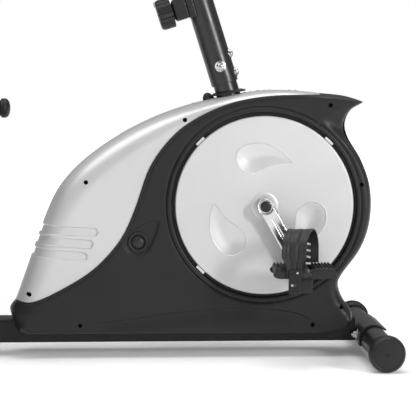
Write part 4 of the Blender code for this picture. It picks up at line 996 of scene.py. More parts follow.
def make_strap(side, sign, axle):
    """Ribbed rubber band over the foot, with its row of slots and its notched tail."""
    half_span, thick, width = 0.0468, 0.0034, 0.044
    centre = axle + Vector((-0.0045, sign * 0.158, 0))
    rise, bend = 0.0735, 0.038
    route = [(half_span, -0.0095), (half_span, 0.006), (half_span + 0.0004, rise - bend)]
    route += [(half_span * math.cos(a), rise - bend + bend * math.sin(a))
              for a in [math.pi * k / 16 for k in range(1, 16)]]
    route += [(-half_span - 0.0004, rise - bend), (-half_span, 0.016), (-half_span, 0.0092)]
    line = spaced(smooth([(*p, 0) for p in route], 4), 0.0022)[:, :2]
    way = np.gradient(line, axis=0)
    way /= np.linalg.norm(way, axis=1)[:, None]
    out = np.stack([way[:, 1], -way[:, 0]], axis=1)
    out *= np.sign((out * line).sum(axis=1).sum())
    across = np.linspace(-0.5, 0.5, 29)
    ribbed = np.full(29, thick * 0.86)
    for at in (-0.20, 0.14):
        ribbed -= 0.0012 * np.exp(-((across - at) / 0.035) ** 2)
    ribbed += 0.0009 * np.exp(-((np.abs(across) - 0.45) / 0.05) ** 2)
    section = [(u * width, t) for u, t in zip(across, ribbed)] + [(u * width, 0.0) for u in across[::-1]]
    points, faces = [], []
    size = len(section)
    for i, ((y, z), (ny, nz)) in enumerate(zip(line, out)):
        shift = -0.0160 * np.clip(y / half_span, -1, 1)
        narrow = 0.62 + 0.38 * step(z, 0.012, 0.030) if y > 0 else 1.0
        points += [centre + Vector((shift + u * narrow, sign * (y + ny * t - ny * thick / 2), z + nz * t - nz * thick / 2))
                   for u, t in section]
        if i:
            one, two = (i - 1) * size, i * size
            faces += [(one + k, one + (k + 1) % size, two + (k + 1) % size, two + k) for k in range(size)]
    faces += [tuple(range(size)), tuple(range(len(points) - size, len(points)))]
    strap = solid("pedal_strap_" + side, points, faces)
    slots = []
    for z in (0.0200, 0.0320, 0.0440):
        outline = [(-0.0075, -0.0019), (0.0075, -0.0019), (0.0075, 0.0019), (-0.0075, 0.0019)]
        outline = soften([(*p, 0) for p in outline], 0.0017, 3, closed=True)
        lean = math.radians(-14)
        outline = [(0.016 + p.x * math.cos(lean) - p.y * math.sin(lean), z + p.x * math.sin(lean) + p.y * math.cos(lean))
                   for p in outline]
        slots.append(slab("slot", outline, -sign * 0.060, -sign * 0.030, centre, 0))
    piece(cut(strap, *slots), "pedal_" + side, RUBBER, "pedal_strap_" + side, angle=50)
    tail = []
    outer = 0.0495
    for z in np.arange(-0.0325, 0.0035, 0.0045):
        tail.append(block("rung", (0.0185, 0.0030, 0.0022), centre + Vector((-0.0155, sign * (outer + 0.0012), z)), 0, 0.0008, 2))
    band = [(-0.0105, -0.0370), (0.0105, -0.0370), (0.0105, 0.0060), (-0.0105, 0.0060)]
    band = [(p.x - 0.0155, p.y) for p in soften([(*p, 0) for p in band], 0.003, 3, closed=True)]
    body = slab("strap_tail_" + side, band, sign * (outer - 0.0015), sign * (outer + 0.0012), centre, 0.0006, 2)
    window = slab("window", [(-0.0215, -0.0235), (-0.0125, -0.0235), (-0.0125, -0.0190), (-0.0215, -0.0190)],
                  sign * 0.03, sign * 0.07, centre, 0)
    piece(cut(fuse(body, *tail), window), "pedal_" + side, RUBBER, angle=40)
    stud = lathe("strap_stud_" + side, [(0, 0.0030), (0.0018, 0.0027), (0.0026, 0.0012), (0.0026, 0), (0, 0)],
                 centre + Vector((-0.0105, sign * (outer + 0.0010), 0.0012)), ALONG_Y * sign, 24)
    piece(stud, "pedal_" + side, ZINC)


# ---- Base, frame and mast ------------------------------------------------------------------------

def rect_tube(name, start, end, width, height, corner, wall=0.0025):
    """A straight rectangular tube, open at both ends. width is across the bike for one along X."""
    side = ALONG_Y
    outer = sweep(name, [start, end], box_section(width, height, corner), side)
    way = (end - start).normalized() * 0.02
    hollow = sweep("hollow", [start - way, end + way], box_section(width - 2 * wall, height - 2 * wall, corner * 0.6), side)
    return cut(outer, hollow)


def rect_loop(centre, width_x, width_y, gap=0.0022):
    """Points round a level rectangle."""
    x, y = width_x / 2, width_y / 2
    corners = soften([(x, y, 0), (-x, y, 0), (-x, -y, 0), (x, -y, 0)], 0.006, 3, closed=True)
    line = spaced([(p.x, p.y, 0) for p in corners], gap, closed=True)
    return [centre + Vector((p[0], p[1], 0)) for p in line]


def make_base():
    lowest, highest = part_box("main_beam")
    z = (lowest.z + highest.z) / 2
    width, height = highest.y - lowest.y, highest.z - lowest.z
    beam = rect_tube("main_beam", Vector((lowest.x, 0, z)), Vector((highest.x, 0, z)), width, height, 0.006)
    piece(beam, "frame", BEAM_BLACK, "main_beam")
    for node in ("front_stabiliser", "rear_stabiliser"):
        centre = middle(node)
        half = high(node).y
        profile = [(0.025, half), (0.025, -half), (0.0228, -half), (0.0228, half)]
        piece(lathe(node, profile, centre, ALONG_Y, 64, ring=True), "frame", GLOSS_BLACK, node)
    rear = middle("rear_stabiliser")
    ring = [rear + Vector((0.0254 * math.cos(a), 0, 0.0254 * math.sin(a))) for a in (-0.9, -0.5, 0, 0.5, 0.9)]
    bead = []
    for sign in (-1, 1):
        line = [p + ALONG_Y * sign * (width / 2 + 0.001) for p in ring]
        line = [Vector(q) for q in smooth(line, 8)]
        bead.append(sweep("bead", line, round_section(0.0026, 8)))
    piece(merge("beam_welds", *bead), "frame", GLOSS_BLACK)
    make_saddle()
    make_front_caps()
    make_rear_caps()


def make_saddle():
    centre = middle("front_stabiliser")
    half = high("front_saddle").y
    inner, outer = 0.0253, 0.0293
    outline = [(outer * math.cos(a), outer * math.sin(a)) for a in np.radians(np.linspace(50, 205, 44))]
    outline += [(inner * math.cos(a), inner * math.sin(a)) for a in np.radians(np.linspace(205, 50, 44))]
    start = Vector((math.cos(math.radians(50)), math.sin(math.radians(50))))
    lip = Vector((start.y, -start.x)) * 0.0055 + start * 0.0012
    outline = [tuple(start * inner + lip), tuple(start * outer + lip), *outline]
    plate = slab("front_saddle", outline, -half, half, centre, 0.0010, 2)
    piece(plate, "frame", GLOSS_BLACK, "front_saddle", angle=45)
    nuts = []
    for sign in (-1, 1):
        a = math.radians(168)
        way = Vector((math.cos(a), 0, math.sin(a)))
        nuts.append(hex_nut("nut", centre + way * outer + ALONG_Y * sign * 0.045, way, 0.0072, 0.0058))
    piece(merge("saddle_nuts", *nuts), "frame", ZINC)


def cap_profile(radius):
    """End cap: a collar that laps the tube, a barrel and a slightly crowned face with a ring groove."""
    return [
        (0, 0.0192), (radius * 0.45, 0.0190), (radius * 0.74, 0.0180), (radius * 0.76, 0.0170), (radius * 0.79, 0.0168),
        (radius * 0.82, 0.0172), (radius * 0.91, 0.0152), (radius * 0.97, 0.0120), (radius, 0.0082),
        (radius, 0.0014), (radius * 0.985, 0.0004), (0.0306, 0.0002), (0.0305, -0.0085), (0.0296, -0.0094),
        (0.0296, -0.0205), (0.0288, -0.0216), (0.0255, -0.0216), (0.0255, 0.0004), (0.0226, 0.0004),
        (0.0226, -0.018), (0, -0.018),
    ]


def make_front_caps():
    for side, sign in SIDES:
        node = "front_roller_" + side
        centre = middle(node)
        place = Vector((centre.x, sign * 0.225, centre.z))
        cap = lathe(node, cap_profile(0.033), place, ALONG_Y * sign, 72)
        piece(cap, "front_roller_" + side, GREY_PLASTIC, node, angle=28)
        # Two dark blocks stand slightly proud of the cap's face in place of its two slots: painted shade of the slots,
        # not cut recesses.
        slots = [block("mark", (0.0014, 0.0012, 0.0052), place + Vector((x, sign * 0.0189, 0)), 0, 0.0003, 1)
                 for x in (-0.0024, 0.0024)]
        piece(merge("cap_slot_shade_" + side, *slots), "front_roller_" + side, RECESS_SHADE_BLACK)


def make_rear_caps():
    for side, sign in SIDES:
        node = "rear_end_cap_" + side
        centre = middle("rear_stabiliser")
        place = Vector((centre.x, sign * 0.225, centre.z))
        cap = lathe(node, cap_profile(0.032), place, ALONG_Y * sign, 72)
        lowest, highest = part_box(node)
        near, far = sorted((sign * 0.2256, sign * 0.2404))
        foot = block("foot", (0.035, far - near, 0.012), Vector((centre.x, (near + far) / 2, 0.0061)), 0, 0.0022, 3)
        ribs = [block("rib", (0.0014, 0.02, 0.0016), Vector((centre.x + x, (near + far) / 2, 0.0002)), 0, 0.0003, 1)
                for x in (-0.010, -0.005, 0, 0.005, 0.010)]
        piece(cut(fuse(cap, foot), *ribs), "frame", GREY_PLASTIC, node, angle=28)


def make_mast():
    profile = [
        (MAST_R, MAST_END - 0.0008), (MAST_R, MAST_START + 0.0012), (MAST_R - 0.0008, MAST_START),
        (POST_R + 0.0005, MAST_START), (POST_R + 0.0005, MAST_END), (MAST_R - 0.0008, MAST_END),
    ]
    piece(lathe("mast", profile, AXLE, MAST, 96, ring=True), "frame", GLOSS_BLACK, "mast")
    post = [(0, 0.330), (POST_R - 0.001, 0.330), (POST_R, 0.329), (POST_R, 0.150), (0, 0.150)]
    piece(lathe("mast_post_sleeve", post, AXLE, MAST, 96), "frame", GLOSS_BLACK)
    bolts = (("mast_bolt_front_1", 0.251, -MAST_BACK), ("mast_bolt_front_2", 0.287, -MAST_BACK),
             ("mast_bolt_right", 0.269, -ALONG_Y))
    for node, at, axis in bolts:
        place = on_mast(at) + axis * (MAST_R + 0.0011)
        head = button_head(node, place, axis, 0.0072, 0.0050, 1.0, 0.004)
        washer = curved_washer(node + "_washer", at, axis)
        piece(merge(node, head, washer), "frame", ZINC, node)
    make_collar()


def curved_washer(name, at, axis):
    """A round washer bent to lie on the mast."""
    across = axis.cross(MAST)
    points, faces = [], []
    rings, steps = (0.0, 0.0052, 0.0098, 0.0102), 32
    for lift in (0.0001, 0.0015):
        for r in rings:
            for k in range(steps):
                a = 2 * math.pi * k / steps
                u, v = r * math.cos(a), r * math.sin(a)
                bend = MAST_R + lift
                turn = v / bend
                points.append(on_mast(at + u) + axis * bend * math.cos(turn) + across * bend * math.sin(turn))
    layer = len(rings) * steps
    for base in (0, layer):
        for j in range(1, len(rings) - 1):
            for k in range(steps):
                m = (k + 1) % steps
                one, two = base + j * steps, base + (j + 1) * steps
                faces.append((one + k, one + m, two + m, two + k))
    for j in (1, len(rings) - 1):
        for k in range(steps):
            m = (k + 1) % steps
            faces.append((j * steps + k, j * steps + m, layer + j * steps + m, layer + j * steps + k))
    used = sorted({i for f in faces for i in f})
    where = {old: new for new, old in enumerate(used)}
    return solid(name, [points[i] for i in used], [tuple(where[i] for i in f) for f in faces])


def make_collar():
    slope = (Vector(CREST[9][:2]) - Vector(CREST[8][:2])).normalized()
    normal = Vector((-slope.y, 0, slope.x))
    place = on_mast(0.217)
    profile = [
        (0.0239, 0.0034), (0.0262, 0.0046), (0.0284, 0.0034), (0.0316, 0.0026), (0.0338, 0.0016), (0.0344, 0.0000),
        (0.0338, -0.0012), (0.0239, -0.0012),
    ]
    ring = lathe("mast_collar", profile, place, normal, 72, ring=True)
    bore = lathe("bore", [(0, 0.30), (POST_R + 0.0003, 0.30), (POST_R + 0.0003, 0.10), (0, 0.10)], AXLE, MAST, 64)
    piece(cut(ring, bore), "frame", TRIM_BLACK, "mast_collar")
    back = AXLE + Vector((-0.1005, 0, 0.1935))
    dome = [(0, 0.0150), (0.0030, 0.0145), (0.0062, 0.0125), (0.0088, 0.0088), (0.0102, 0.0040), (0.0118, 0.0018),
            (0.0124, 0.0004), (0.0124, -0.004), (0, -0.004)]
    piece(lathe("cable_grommet", dome, back, Vector((-0.38, 0, 1)).normalized(), 40), "frame", RUBBER)


def make_tension_control():
    node = "tension_housing"
    place = on_mast(0.393, MAST_R + 0.0003 + 0.013)
    house = block(node, (0.0262, 0.044, 0.040), place, -MAST_LEAN, 0.0035, 4)
    seat = lathe("bore", [(0, 0.9), (MAST_R + 0.0002, 0.9), (MAST_R + 0.0002, 0.2), (0, 0.2)], AXLE, MAST, 64)
    saddle = block("saddle", (0.014, 0.0505, 0.046), on_mast(0.393, 0.0190), -MAST_LEAN, 0.003, 3)
    house = cut(fuse(house, saddle), seat)
    piece(house, "frame", TRIM_BLACK, node, angle=40)
    start = MAST_R + 0.0266

    def flute(angle, radius, height):
        if radius < 0.024:
            return radius
        wave = abs(math.sin(angle * 9))
        return radius - 0.0016 * (1 - min(1, wave * 2.2)) ** 1.5

    profile = [
        (0, 0.0300), (0.0180, 0.0300), (0.0190, 0.0294), (0.0200, 0.0312), (0.0245, 0.0318), (0.0276, 0.0306),
        (0.0293, 0.0272), (0.0300, 0.0230), (0.0300, 0.0050), (0.0294, 0.0030), (0.0250, 0.0024), (0.0170, 0.0022),
        (0.0165, 0.0002), (0, 0.0002),
    ]
    knob = lathe("tension_knob", [(r * 0.96, h * 0.95 + start) for r, h in profile], on_mast(0.393), MAST_BACK, 216, flute=flute)
    pointer = block("pointer", (0.0016, 0.0024, 0.010), on_mast(0.393 + 0.0225, start + 0.0316), -MAST_LEAN, 0.0006, 2)
    piece(knob, "tension_knob", TRIM_BLACK, "tension_knob", angle=32)
    piece(pointer, "tension_knob", MARK).name = "tension_pointer"
    scale = []
    for k in range(8):
        a = math.radians(22.5 + 45 * k)
        offset = (MAST * math.cos(a) + ALONG_Y * math.sin(a)) * 0.0148
        scale.append(lathe("dot", [(0, 0.0004), (0.0009, 0.0004), (0.0010, 0), (0, 0)],
                           on_mast(0.393, start + 0.0301) + offset, MAST_BACK, 12))
    piece(merge("tension_dots", *scale), "tension_knob", MARK)


# ---- Console and handlebars ----------------------------------------------------------------------

CONSOLE_TILT = math.radians(32)
FACE = Vector((-math.cos(CONSOLE_TILT), 0, math.sin(CONSOLE_TILT)))
RISE = Vector((math.sin(CONSOLE_TILT), 0, math.cos(CONSOLE_TILT)))
CONSOLE = on_mast(MAST_END) + UP * 0.060 + FACE * 0.012


def on_console(out, side=0.0, up=0.0):
    return CONSOLE + FACE * out + ALONG_Y * side + RISE * up


def console_slab(name, outline, near, far, edge, segments=3):
    """A flat outline, (side, up) on the console, from near to far out of its face."""
    count = len(outline)
    points = [on_console(out, p[0], p[1]) for out in (near, far) for p in outline]
    faces = [tuple(range(count)), tuple(range(count, 2 * count))]
    faces += [(i, (i + 1) % count, count + (i + 1) % count, count + i) for i in range(count)]
    made = solid(name, points, faces)
    return bevel(made, edge, segments, 50) if edge else made


def rounded(width, height, corner, up=0.0, side=0.0):
    x, z = width / 2, height / 2
    corners = [(side + x, up + z, 0), (side - x, up + z, 0), (side - x, up - z, 0), (side + x, up - z, 0)]
    return [(p.x, p.y) for p in soften(corners, corner, 6, closed=True)]


def make_console():
    front = 0.0225
    outline = [(-0.0975, 0.058, 0), (-0.070, 0.0725, 0), (0.070, 0.0725, 0), (0.0975, 0.058, 0), (0.0975, -0.030, 0),
               (0.080, -0.0725, 0), (-0.080, -0.0725, 0), (-0.0975, -0.030, 0)]
    outline = [(p.x, p.y) for p in soften(outline, 0.020, 6, closed=True)]
    body = console_slab("console_case", outline, -0.010, front - 0.0030, 0.0030, 4)
    back = [(x * 0.86, y * 0.86) for x, y in outline]
    back = console_slab("back", back, -0.0215, -0.008, 0.007, 5)
    panel = console_slab("panel", [(x * 0.93, y * 0.93) for x, y in outline], front - 0.006, front - 0.0012, 0.0012, 3)
    pocket = console_slab("pocket", rounded(0.1002, 0.0602, 0.004, 0.022), front - 0.0030, front + 0.01, 0)
    bezel = console_slab("bezel", rounded(0.112, 0.072, 0.010, 0.022), front - 0.004, front, 0.0012, 3)
    slots = []
    for k in range(5):
        slots.append(console_slab("slot", rounded(0.020, 0.0014, 0.0006, -0.058 - 0.0028 * (k - 2), 0.0),
                                  front - 0.0032, front + 0.01, 0))
    wells = []
    for y in (-0.040, 0.0, 0.040):
        place = on_console(0, y, -0.040)
        wells.append(lathe("well", [(0, 0.04), (0.0075, 0.04), (0.0075, 0.0172), (0, 0.0172)], place, FACE, 40))
    case = cut(fuse(body, back, panel, bezel), pocket, *slots, *wells)
    piece(case, "frame", TRIM_BLACK, "console_case", angle=32)
    trim = console_slab("console_trim", [(x * 1.0, y * 1.0) for x, y in outline], 0.0020, 0.0060, 0.0010, 2)
    bore = console_slab("bore", [(x * 0.985, y * 0.985) for x, y in outline], -0.01, 0.02, 0)
    piece(cut(trim, bore), "frame", DISC_SILVER)
    glass = console_slab("console_screen", rounded(0.0994, 0.0594, 0.004, 0.022), front - 0.0028, front - 0.0012, 0.0004, 2)
    piece(glass, "frame", GLASS, "console_screen")
    make_digits(front - 0.0012)
    for number, y in enumerate((-0.040, 0.0, 0.040), 1):
        node = "console_button_%d" % number
        place = on_console(0.0225, y, -0.040)
        profile = [(0, 0.0031), (0.0040, 0.0032), (0.0055, 0.0036), (0.0064, 0.0034), (0.0069, 0.0026), (0.0070, 0.0010),
                   (0.0070, -0.0035), (0, -0.0035)]
        piece(lathe(node, profile, place, FACE, 48), node, GREY_PLASTIC, node, angle=28)
        ring = [(0.0092, 0.0006), (0.0098, 0.0002), (0.0098, -0.0016), (0.0080, -0.0016), (0.0080, 0.0002), (0.0084, 0.0006)]
        piece(lathe(node + "_ring", ring, on_console(0.0213, y, -0.040), FACE, 48, ring=True), "frame", DISC_SILVER)
    make_bracket()


def make_digits(level):
    """Plain segments of a clock display, with a scale of bars over them."""
    shapes = []

    def bar(side, up, width, height):
        shapes.append(console_slab("bar", rounded(width, height, min(width, height) * 0.4, up, side),
                                   level, level + 0.0003, 0))

    for side in (-0.030, -0.014, 0.008, 0.024):
        for up in (-0.011, 0, 0.011):
            if up:
                bar(side, 0.017 + up, 0.0085, 0.0019)
        for across in (-0.0052, 0.0052):
            for up in (-0.0055, 0.0055):
                bar(side + across, 0.017 + up, 0.0019, 0.0088)
    for up in (-0.005, 0.005):
        bar(-0.003, 0.017 + up, 0.0022, 0.0022)
    for k in range(12):
        bar(-0.042 + 0.0068 * k, 0.0445, 0.0045, 0.0012 + 0.0004 * k)
    piece(merge("display_digits", *shapes), "frame", SEGMENT)


def make_bracket():
    plate = console_slab("console_bracket", rounded(0.060, 0.070, 0.008, -0.035), -0.0268, -0.0228, 0.0012, 3)
    plug = lathe("plug", [(0, MAST_END + 0.060), (POST_R, MAST_END + 0.060), (POST_R, MAST_END - 0.05), (0, MAST_END - 0.05)],
                 AXLE, MAST, 64)
    trim = console_slab("trim", rounded(0.3, 0.4, 0.01), -0.0232, 0.10, 0)
    plug = cut(plug, trim)
    piece(fuse(plate, plug), "frame", GLOSS_BLACK, "console_bracket")
    sleeve = [(0.0252, MAST_END + 0.010), (0.0276, MAST_END + 0.006), (0.0276, MAST_END - 0.014), (0.0256, MAST_END - 0.016),
              (0.0256, MAST_END + 0.0004), (0.0228, MAST_END + 0.0004), (0.0228, MAST_END + 0.010)]
    piece(lathe("mast_sleeve", sleeve, AXLE, MAST, 64, ring=True), "frame", TRIM_BLACK)


def grip(name, node, end, way, length, body, cap_r=0.020):
    """Foam sleeve with soft ends, and the round end cap that closes the bar."""
    inner = HANDLE_R + 0.0004
    foam = [(inner, -0.0090), (GRIP_R - 0.0015, -0.0090), (GRIP_R, -0.0105), (GRIP_R + 0.0004, -length * 0.5),
            (GRIP_R, -length + 0.0025), (GRIP_R - 0.0018, -length + 0.0003), (inner, -length)]
    piece(lathe(name, foam, end, way, 48, ring=True), body, FOAM, node, angle=40)
    cap = [(0, 0.0099), (0.0060, 0.0097), (0.0120, 0.0085), (cap_r * 0.86, 0.0054), (cap_r * 0.975, 0.0014),
           (cap_r, -0.0012), (cap_r * 0.99, -0.0024), (cap_r * 0.955, -0.0028), (cap_r * 0.985, -0.0034),
           (cap_r * 0.97, -0.0074), (cap_r * 0.90, -0.0084), (inner, -0.0086), (inner, 0.0004), (0, 0.0004)]
    piece(lathe(name + "_cap", cap, end, way, 64), body, GREY_PLASTIC, angle=30)


def bent(corners, radius, steps=10):
    """A path through the corners, each one rounded to the bend radius."""
    corners = [Vector(c) for c in corners]
    path = [corners[0]]
    for before, corner, after in zip(corners, corners[1:], corners[2:]):
        one, two = (before - corner).normalized(), (after - corner).normalized()
        half = one.angle(two) / 2
        reach = radius / math.tan(half)
        centre = corner + (one + two).normalized() * radius / math.sin(half)
        start, end = corner + one * reach - centre, corner + two * reach - centre
        path += [centre + start.slerp(end, i / steps) * radius for i in range(steps + 1)]
    return path + [corners[-1]]


def make_front_handlebar():
    centre = on_mast(0.790, -(MAST_R + HANDLE_R + 0.0006))
    half = [centre, centre + ALONG_Y * 0.190, centre + Vector((-0.180, 0.190, 0.045))]
    mirrored = [Vector((p.x, -p.y, p.z)) for p in reversed(half[1:])]
    bar = sweep("front_handlebar", bent(mirrored + half[1:], 0.045), round_section(HANDLE_R, 40), UP)
    piece(bar, "frame", GLOSS_BLACK, "front_handlebar")
    for side, sign in SIDES:
        end = Vector((half[2].x, sign * half[2].y, half[2].z))
        back = Vector((half[1].x, sign * half[1].y, half[1].z)) - end
        grip("front_grip_" + side, "front_grip_" + side, end, -back.normalized(), 0.120, "frame", 0.0164)
    clamp_at = on_mast(0.790, -MAST_R - HANDLE_R)
    clamp = block("handlebar_clamp", (0.040, 0.048, 0.042), clamp_at, -MAST_LEAN, 0.0045, 4)
    mast_bore = lathe("bore", [(0, 0.9), (MAST_R + 0.0002, 0.9), (MAST_R + 0.0002, 0.6), (0, 0.6)], AXLE, MAST, 64)
    bar_bore = lathe("bore", [(0, 0.1), (HANDLE_R + 0.0002, 0.1), (HANDLE_R + 0.0002, -0.1), (0, -0.1)],
                     centre, ALONG_Y, 48)
    split = block("split", (0.030, 0.06, 0.0018), on_mast(0.790, -MAST_R - HANDLE_R - 0.018), -MAST_LEAN, 0.0002, 1)
    piece(cut(clamp, mast_bore, bar_bore, split), "frame", GLOSS_BLACK, "handlebar_clamp")
    bolts = []
    for y in (-0.013, 0.013):
        for up, way in ((0.0208, MAST), (-0.0208, -MAST)):
            place = on_mast(0.790 + up, -MAST_R - HANDLE_R - 0.0135, y)
            bolts.append(button_head("bolt", place, way, 0.0046, 0.0034, 1.35, 0.002))
    piece(merge("clamp_bolts", *bolts), "frame", ZINC)


# ---- Seat ----------------------------------------------------------------------------------------

BACK_LEAN = math.radians(14)
BACK_UP = Vector((-math.sin(BACK_LEAN), 0, math.cos(BACK_LEAN)))
BACK_OUT = Vector((math.cos(BACK_LEAN), 0, math.sin(BACK_LEAN)))
BACK_TUBE_R = 0.010
BACK_TUBE_Y = 0.090


def make_seat_support():
    lowest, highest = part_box("seat_support")
    z = highest.z - 0.020
    rail = rect_tube("seat_support", Vector((lowest.x, 0, z)), Vector((highest.x, 0, z)), 0.060, 0.040, 0.005)
    x = AXLE.x - 0.800
    foot = Vector((x, 0, lowest.z))
    post = sweep("post", [foot, Vector((x, 0, z - 0.0192))], box_section(0.050, 0.080, 0.006))
    hollow = sweep("hollow", [foot - UP * 0.01, Vector((x, 0, z - 0.024))], box_section(0.045, 0.075, 0.004))
    piece(fuse(rail, cut(post, hollow)), "frame", GLOSS_BLACK, "seat_support")
    beads = [weld_bead(Vector((x, 0, level)), 0.080, 0.050) for level in (lowest.z + 0.0012, z - 0.0205)]
    piece(merge("post_welds", *beads), "frame", GLOSS_BLACK)
    for name, at, way in (("rail_plug_front", highest.x, 1), ("rail_plug_rear", lowest.x, -1)):
        lid = block("lid", (0.0042, 0.060, 0.040), Vector((at + way * 0.0023, 0, z)), 0, 0.0018, 3)
        body = block("body", (0.020, 0.0542, 0.0342), Vector((at - way * 0.0085, 0, z)), 0, 0.001, 2)
        piece(fuse(lid, body), "frame", TRIM_BLACK).name = name
    for name, at, way in (("beam_plug_front", "front", 1), ("beam_plug_rear", "rear", -1)):
        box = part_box("main_beam")
        edge = box[1].x if way > 0 else box[0].x
        level = (box[0].z + box[1].z) / 2
        plug = block(name, (0.006, 0.0545, 0.0395), Vector((edge - way * 0.012, 0, level)), 0, 0.0012, 2)
        piece(plug, "frame", TRIM_BLACK)


def weld_bead(centre, width_x, width_y):
    """A rippled bead of weld round a rectangular tube."""
    count = 8
    line = rect_loop(centre, width_x + 0.001, width_y + 0.001)
    points, faces = [], []
    for i, place in enumerate(line):
        out = (place - centre).normalized()
        r = 0.0030 * (1 + 0.14 * math.sin(i * 1.9))
        points += [place + (out * math.cos(2 * math.pi * k / count) + UP * math.sin(2 * math.pi * k / count)) * r
                   for k in range(count)]
    total = len(line)
    for i in range(total):
        one, two = i * count, ((i + 1) % total) * count
        faces += [(one + k, one + (k + 1) % count, two + (k + 1) % count, two + k) for k in range(count)]
    return solid("bead", points, faces)


def make_carriage():
    lowest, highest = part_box("seat_carriage")
    centre, size = (lowest + highest) / 2, highest - lowest
    carriage = block("seat_carriage", size, centre, 0, 0.0030, 4)
    rail_top = high("seat_support").z + 0.0004
    opening = block("opening", (size.x + 0.02, 0.0608, 0.2), Vector((centre.x, 0, rail_top - 0.1)), 0, 0.0020, 2)
    upper = (rail_top + 0.005 + highest.z - 0.004) / 2
    hollow = block("hollow", (size.x + 0.02, 0.0608, highest.z - rail_top - 0.009), Vector((centre.x, 0, upper)), 0, 0.0010, 2)
    windows = [block("window", (0.050, 0.1, 0.010), Vector((centre.x + x, 0, upper)), 0, 0.004, 4) for x in (-0.040, 0.040)]
    bore = lathe("bore", [(0, 0.02), (0.0066, 0.02), (0.0066, -0.002), (0, -0.002)], lever_place(), -ALONG_Y, 32)
    piece(cut(carriage, opening, hollow, *windows, bore), "seat", GLOSS_BLACK, "seat_carriage")
    bolts = []
    for sign in (-1, 1):
        for x in (-0.068, 0.068):
            place = Vector((centre.x + x, sign * (size.y / 2), centre.z - 0.012))
            bolts.append(button_head("bolt", place, ALONG_Y * sign, 0.0052, 0.0036, 1.4, 0.002))
    piece(merge("carriage_bolts", *bolts), "seat", ZINC)


def lever_place():
    return Vector((AXLE.x - 0.720, -0.0304, high("seat_support").z - 0.020))


def make_seat_frame():
    lowest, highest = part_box("seat_frame")
    top = low("seat_cushion").z - 0.0003
    front = high("seat_frame").x
    centre = Vector((AXLE.x - 0.745, 0, top - 0.0015))
    outline = soften([(0.140, 0.150, 0), (-0.140, 0.150, 0), (-0.140, -0.150, 0), (0.140, -0.150, 0)], 0.028, 6, closed=True)
    count = len(outline)
    points = [centre + Vector((p.x, p.y, z)) for z in (-0.0015, 0.0015) for p in outline]
    faces = [tuple(range(count)), tuple(range(count, 2 * count))]
    faces += [(i, (i + 1) % count, count + (i + 1) % count, count + i) for i in range(count)]
    pan = bevel(solid("pan", points, faces), 0.0008, 2, 50)
    level = top - 0.003 - BACK_TUBE_R + 0.001
    foot = BACK_FOOT
    parts = []
    for sign in (-1, 1):
        y = sign * BACK_TUBE_Y
        path = [(centre.x - 0.080, y, level), (foot, y, level), tuple(back_place(0.930) + ALONG_Y * y)]
        parts.append(sweep("tube", bent(path, 0.050, 12), round_section(BACK_TUBE_R, 32)))
    for height in (0.600, 0.860):
        place = back_place(height) + ALONG_X * 0.0085
        parts.append(block("strap", (0.003, 0.210, 0.045), place, -BACK_LEAN, 0.0010, 2))
    piece(fuse(pan, *parts), "seat", GLOSS_BLACK, "seat_frame")
    caps = []
    for sign in (-1, 1):
        place = back_place(0.930) + ALONG_Y * sign * BACK_TUBE_Y
        profile = [(0, 0.0048), (0.006, 0.0042), (0.0094, 0.0022), (0.0103, 0.0), (0.0103, -0.0012), (0.0070, -0.0012), (0, -0.0012)]
        caps.append(lathe("cap", profile, place + BACK_UP * 0.0014, BACK_UP, 36))
    piece(merge("back_tube_caps", *caps), "seat", TRIM_BLACK)
    bolts = []
    for height in (0.600, 0.860):
        for y in (-0.045, 0.045):
            place = back_place(height) + ALONG_X * 0.0085 - BACK_OUT * 0.0015 + ALONG_Y * y
            bolts.append(button_head("bolt", place, -BACK_OUT, 0.0062, 0.0040, 1.5, 0.001))
    for x in (-0.050, 0.075):
        for y in (-0.110, 0.110):
            bolts.append(button_head("bolt", Vector((centre.x + x, y, top - 0.003)), -UP, 0.0062, 0.0040, 1.5, 0.001))
    piece(merge("seat_bolts", *bolts), "seat", ZINC)


BACK_FOOT = AXLE.x - 0.945


def back_place(height):
    """Middle line of the back tubes at a height."""
    start = high("seat_carriage").z + 0.0003
    return Vector((BACK_FOOT - math.tan(BACK_LEAN) * (height - start), 0, height))


def make_seat_handlebar():
    level = high("seat_support").z + 0.0004 + HANDLE_R + 0.0012
    x, end = AXLE.x - 0.650, high("seat_grip_left").x - 0.010
    half = [Vector((x, 0.250, level)), Vector((x - 0.030, 0.250, 0.461)), Vector((end, 0.250, 0.461))]
    mirrored = [Vector((p.x, -p.y, p.z)) for p in reversed(half)]
    bar = sweep("seat_handlebar", bent(mirrored + half, 0.040), round_section(HANDLE_R, 40), UP)
    piece(bar, "seat", GLOSS_BLACK, "seat_handlebar")
    for side, sign in SIDES:
        tip = Vector((end, sign * 0.250, 0.461))
        grip("seat_grip_" + side, "seat_grip_" + side, tip, ALONG_X, 0.120, "seat")
    brackets = []
    for sign in (-1, 1):
        place = Vector((x, sign * 0.105, level + 0.0075))
        outline = [(-0.026, 0.0078), (-0.026, 0.0060), (-0.0142, 0.0060), (-0.0138, -0.006), (0, -0.0212), (0.0138, -0.006),
                   (0.0142, 0.0060), (0.026, 0.0060), (0.026, 0.0078)]
        outline = soften([(*p, 0) for p in outline], 0.004, 4, closed=True)
        strap = slab("strap", outline, -0.014, 0.014, place, 0.0006, 2)
        bore = lathe("bore", [(0, 0.03), (HANDLE_R + 0.0002, 0.03), (HANDLE_R + 0.0002, -0.03), (0, -0.03)],
                     Vector((x, place.y, level)), ALONG_Y, 40)
        brackets.append(cut(strap, bore))
    piece(merge("seat_bar_straps", *brackets), "seat", GLOSS_BLACK)


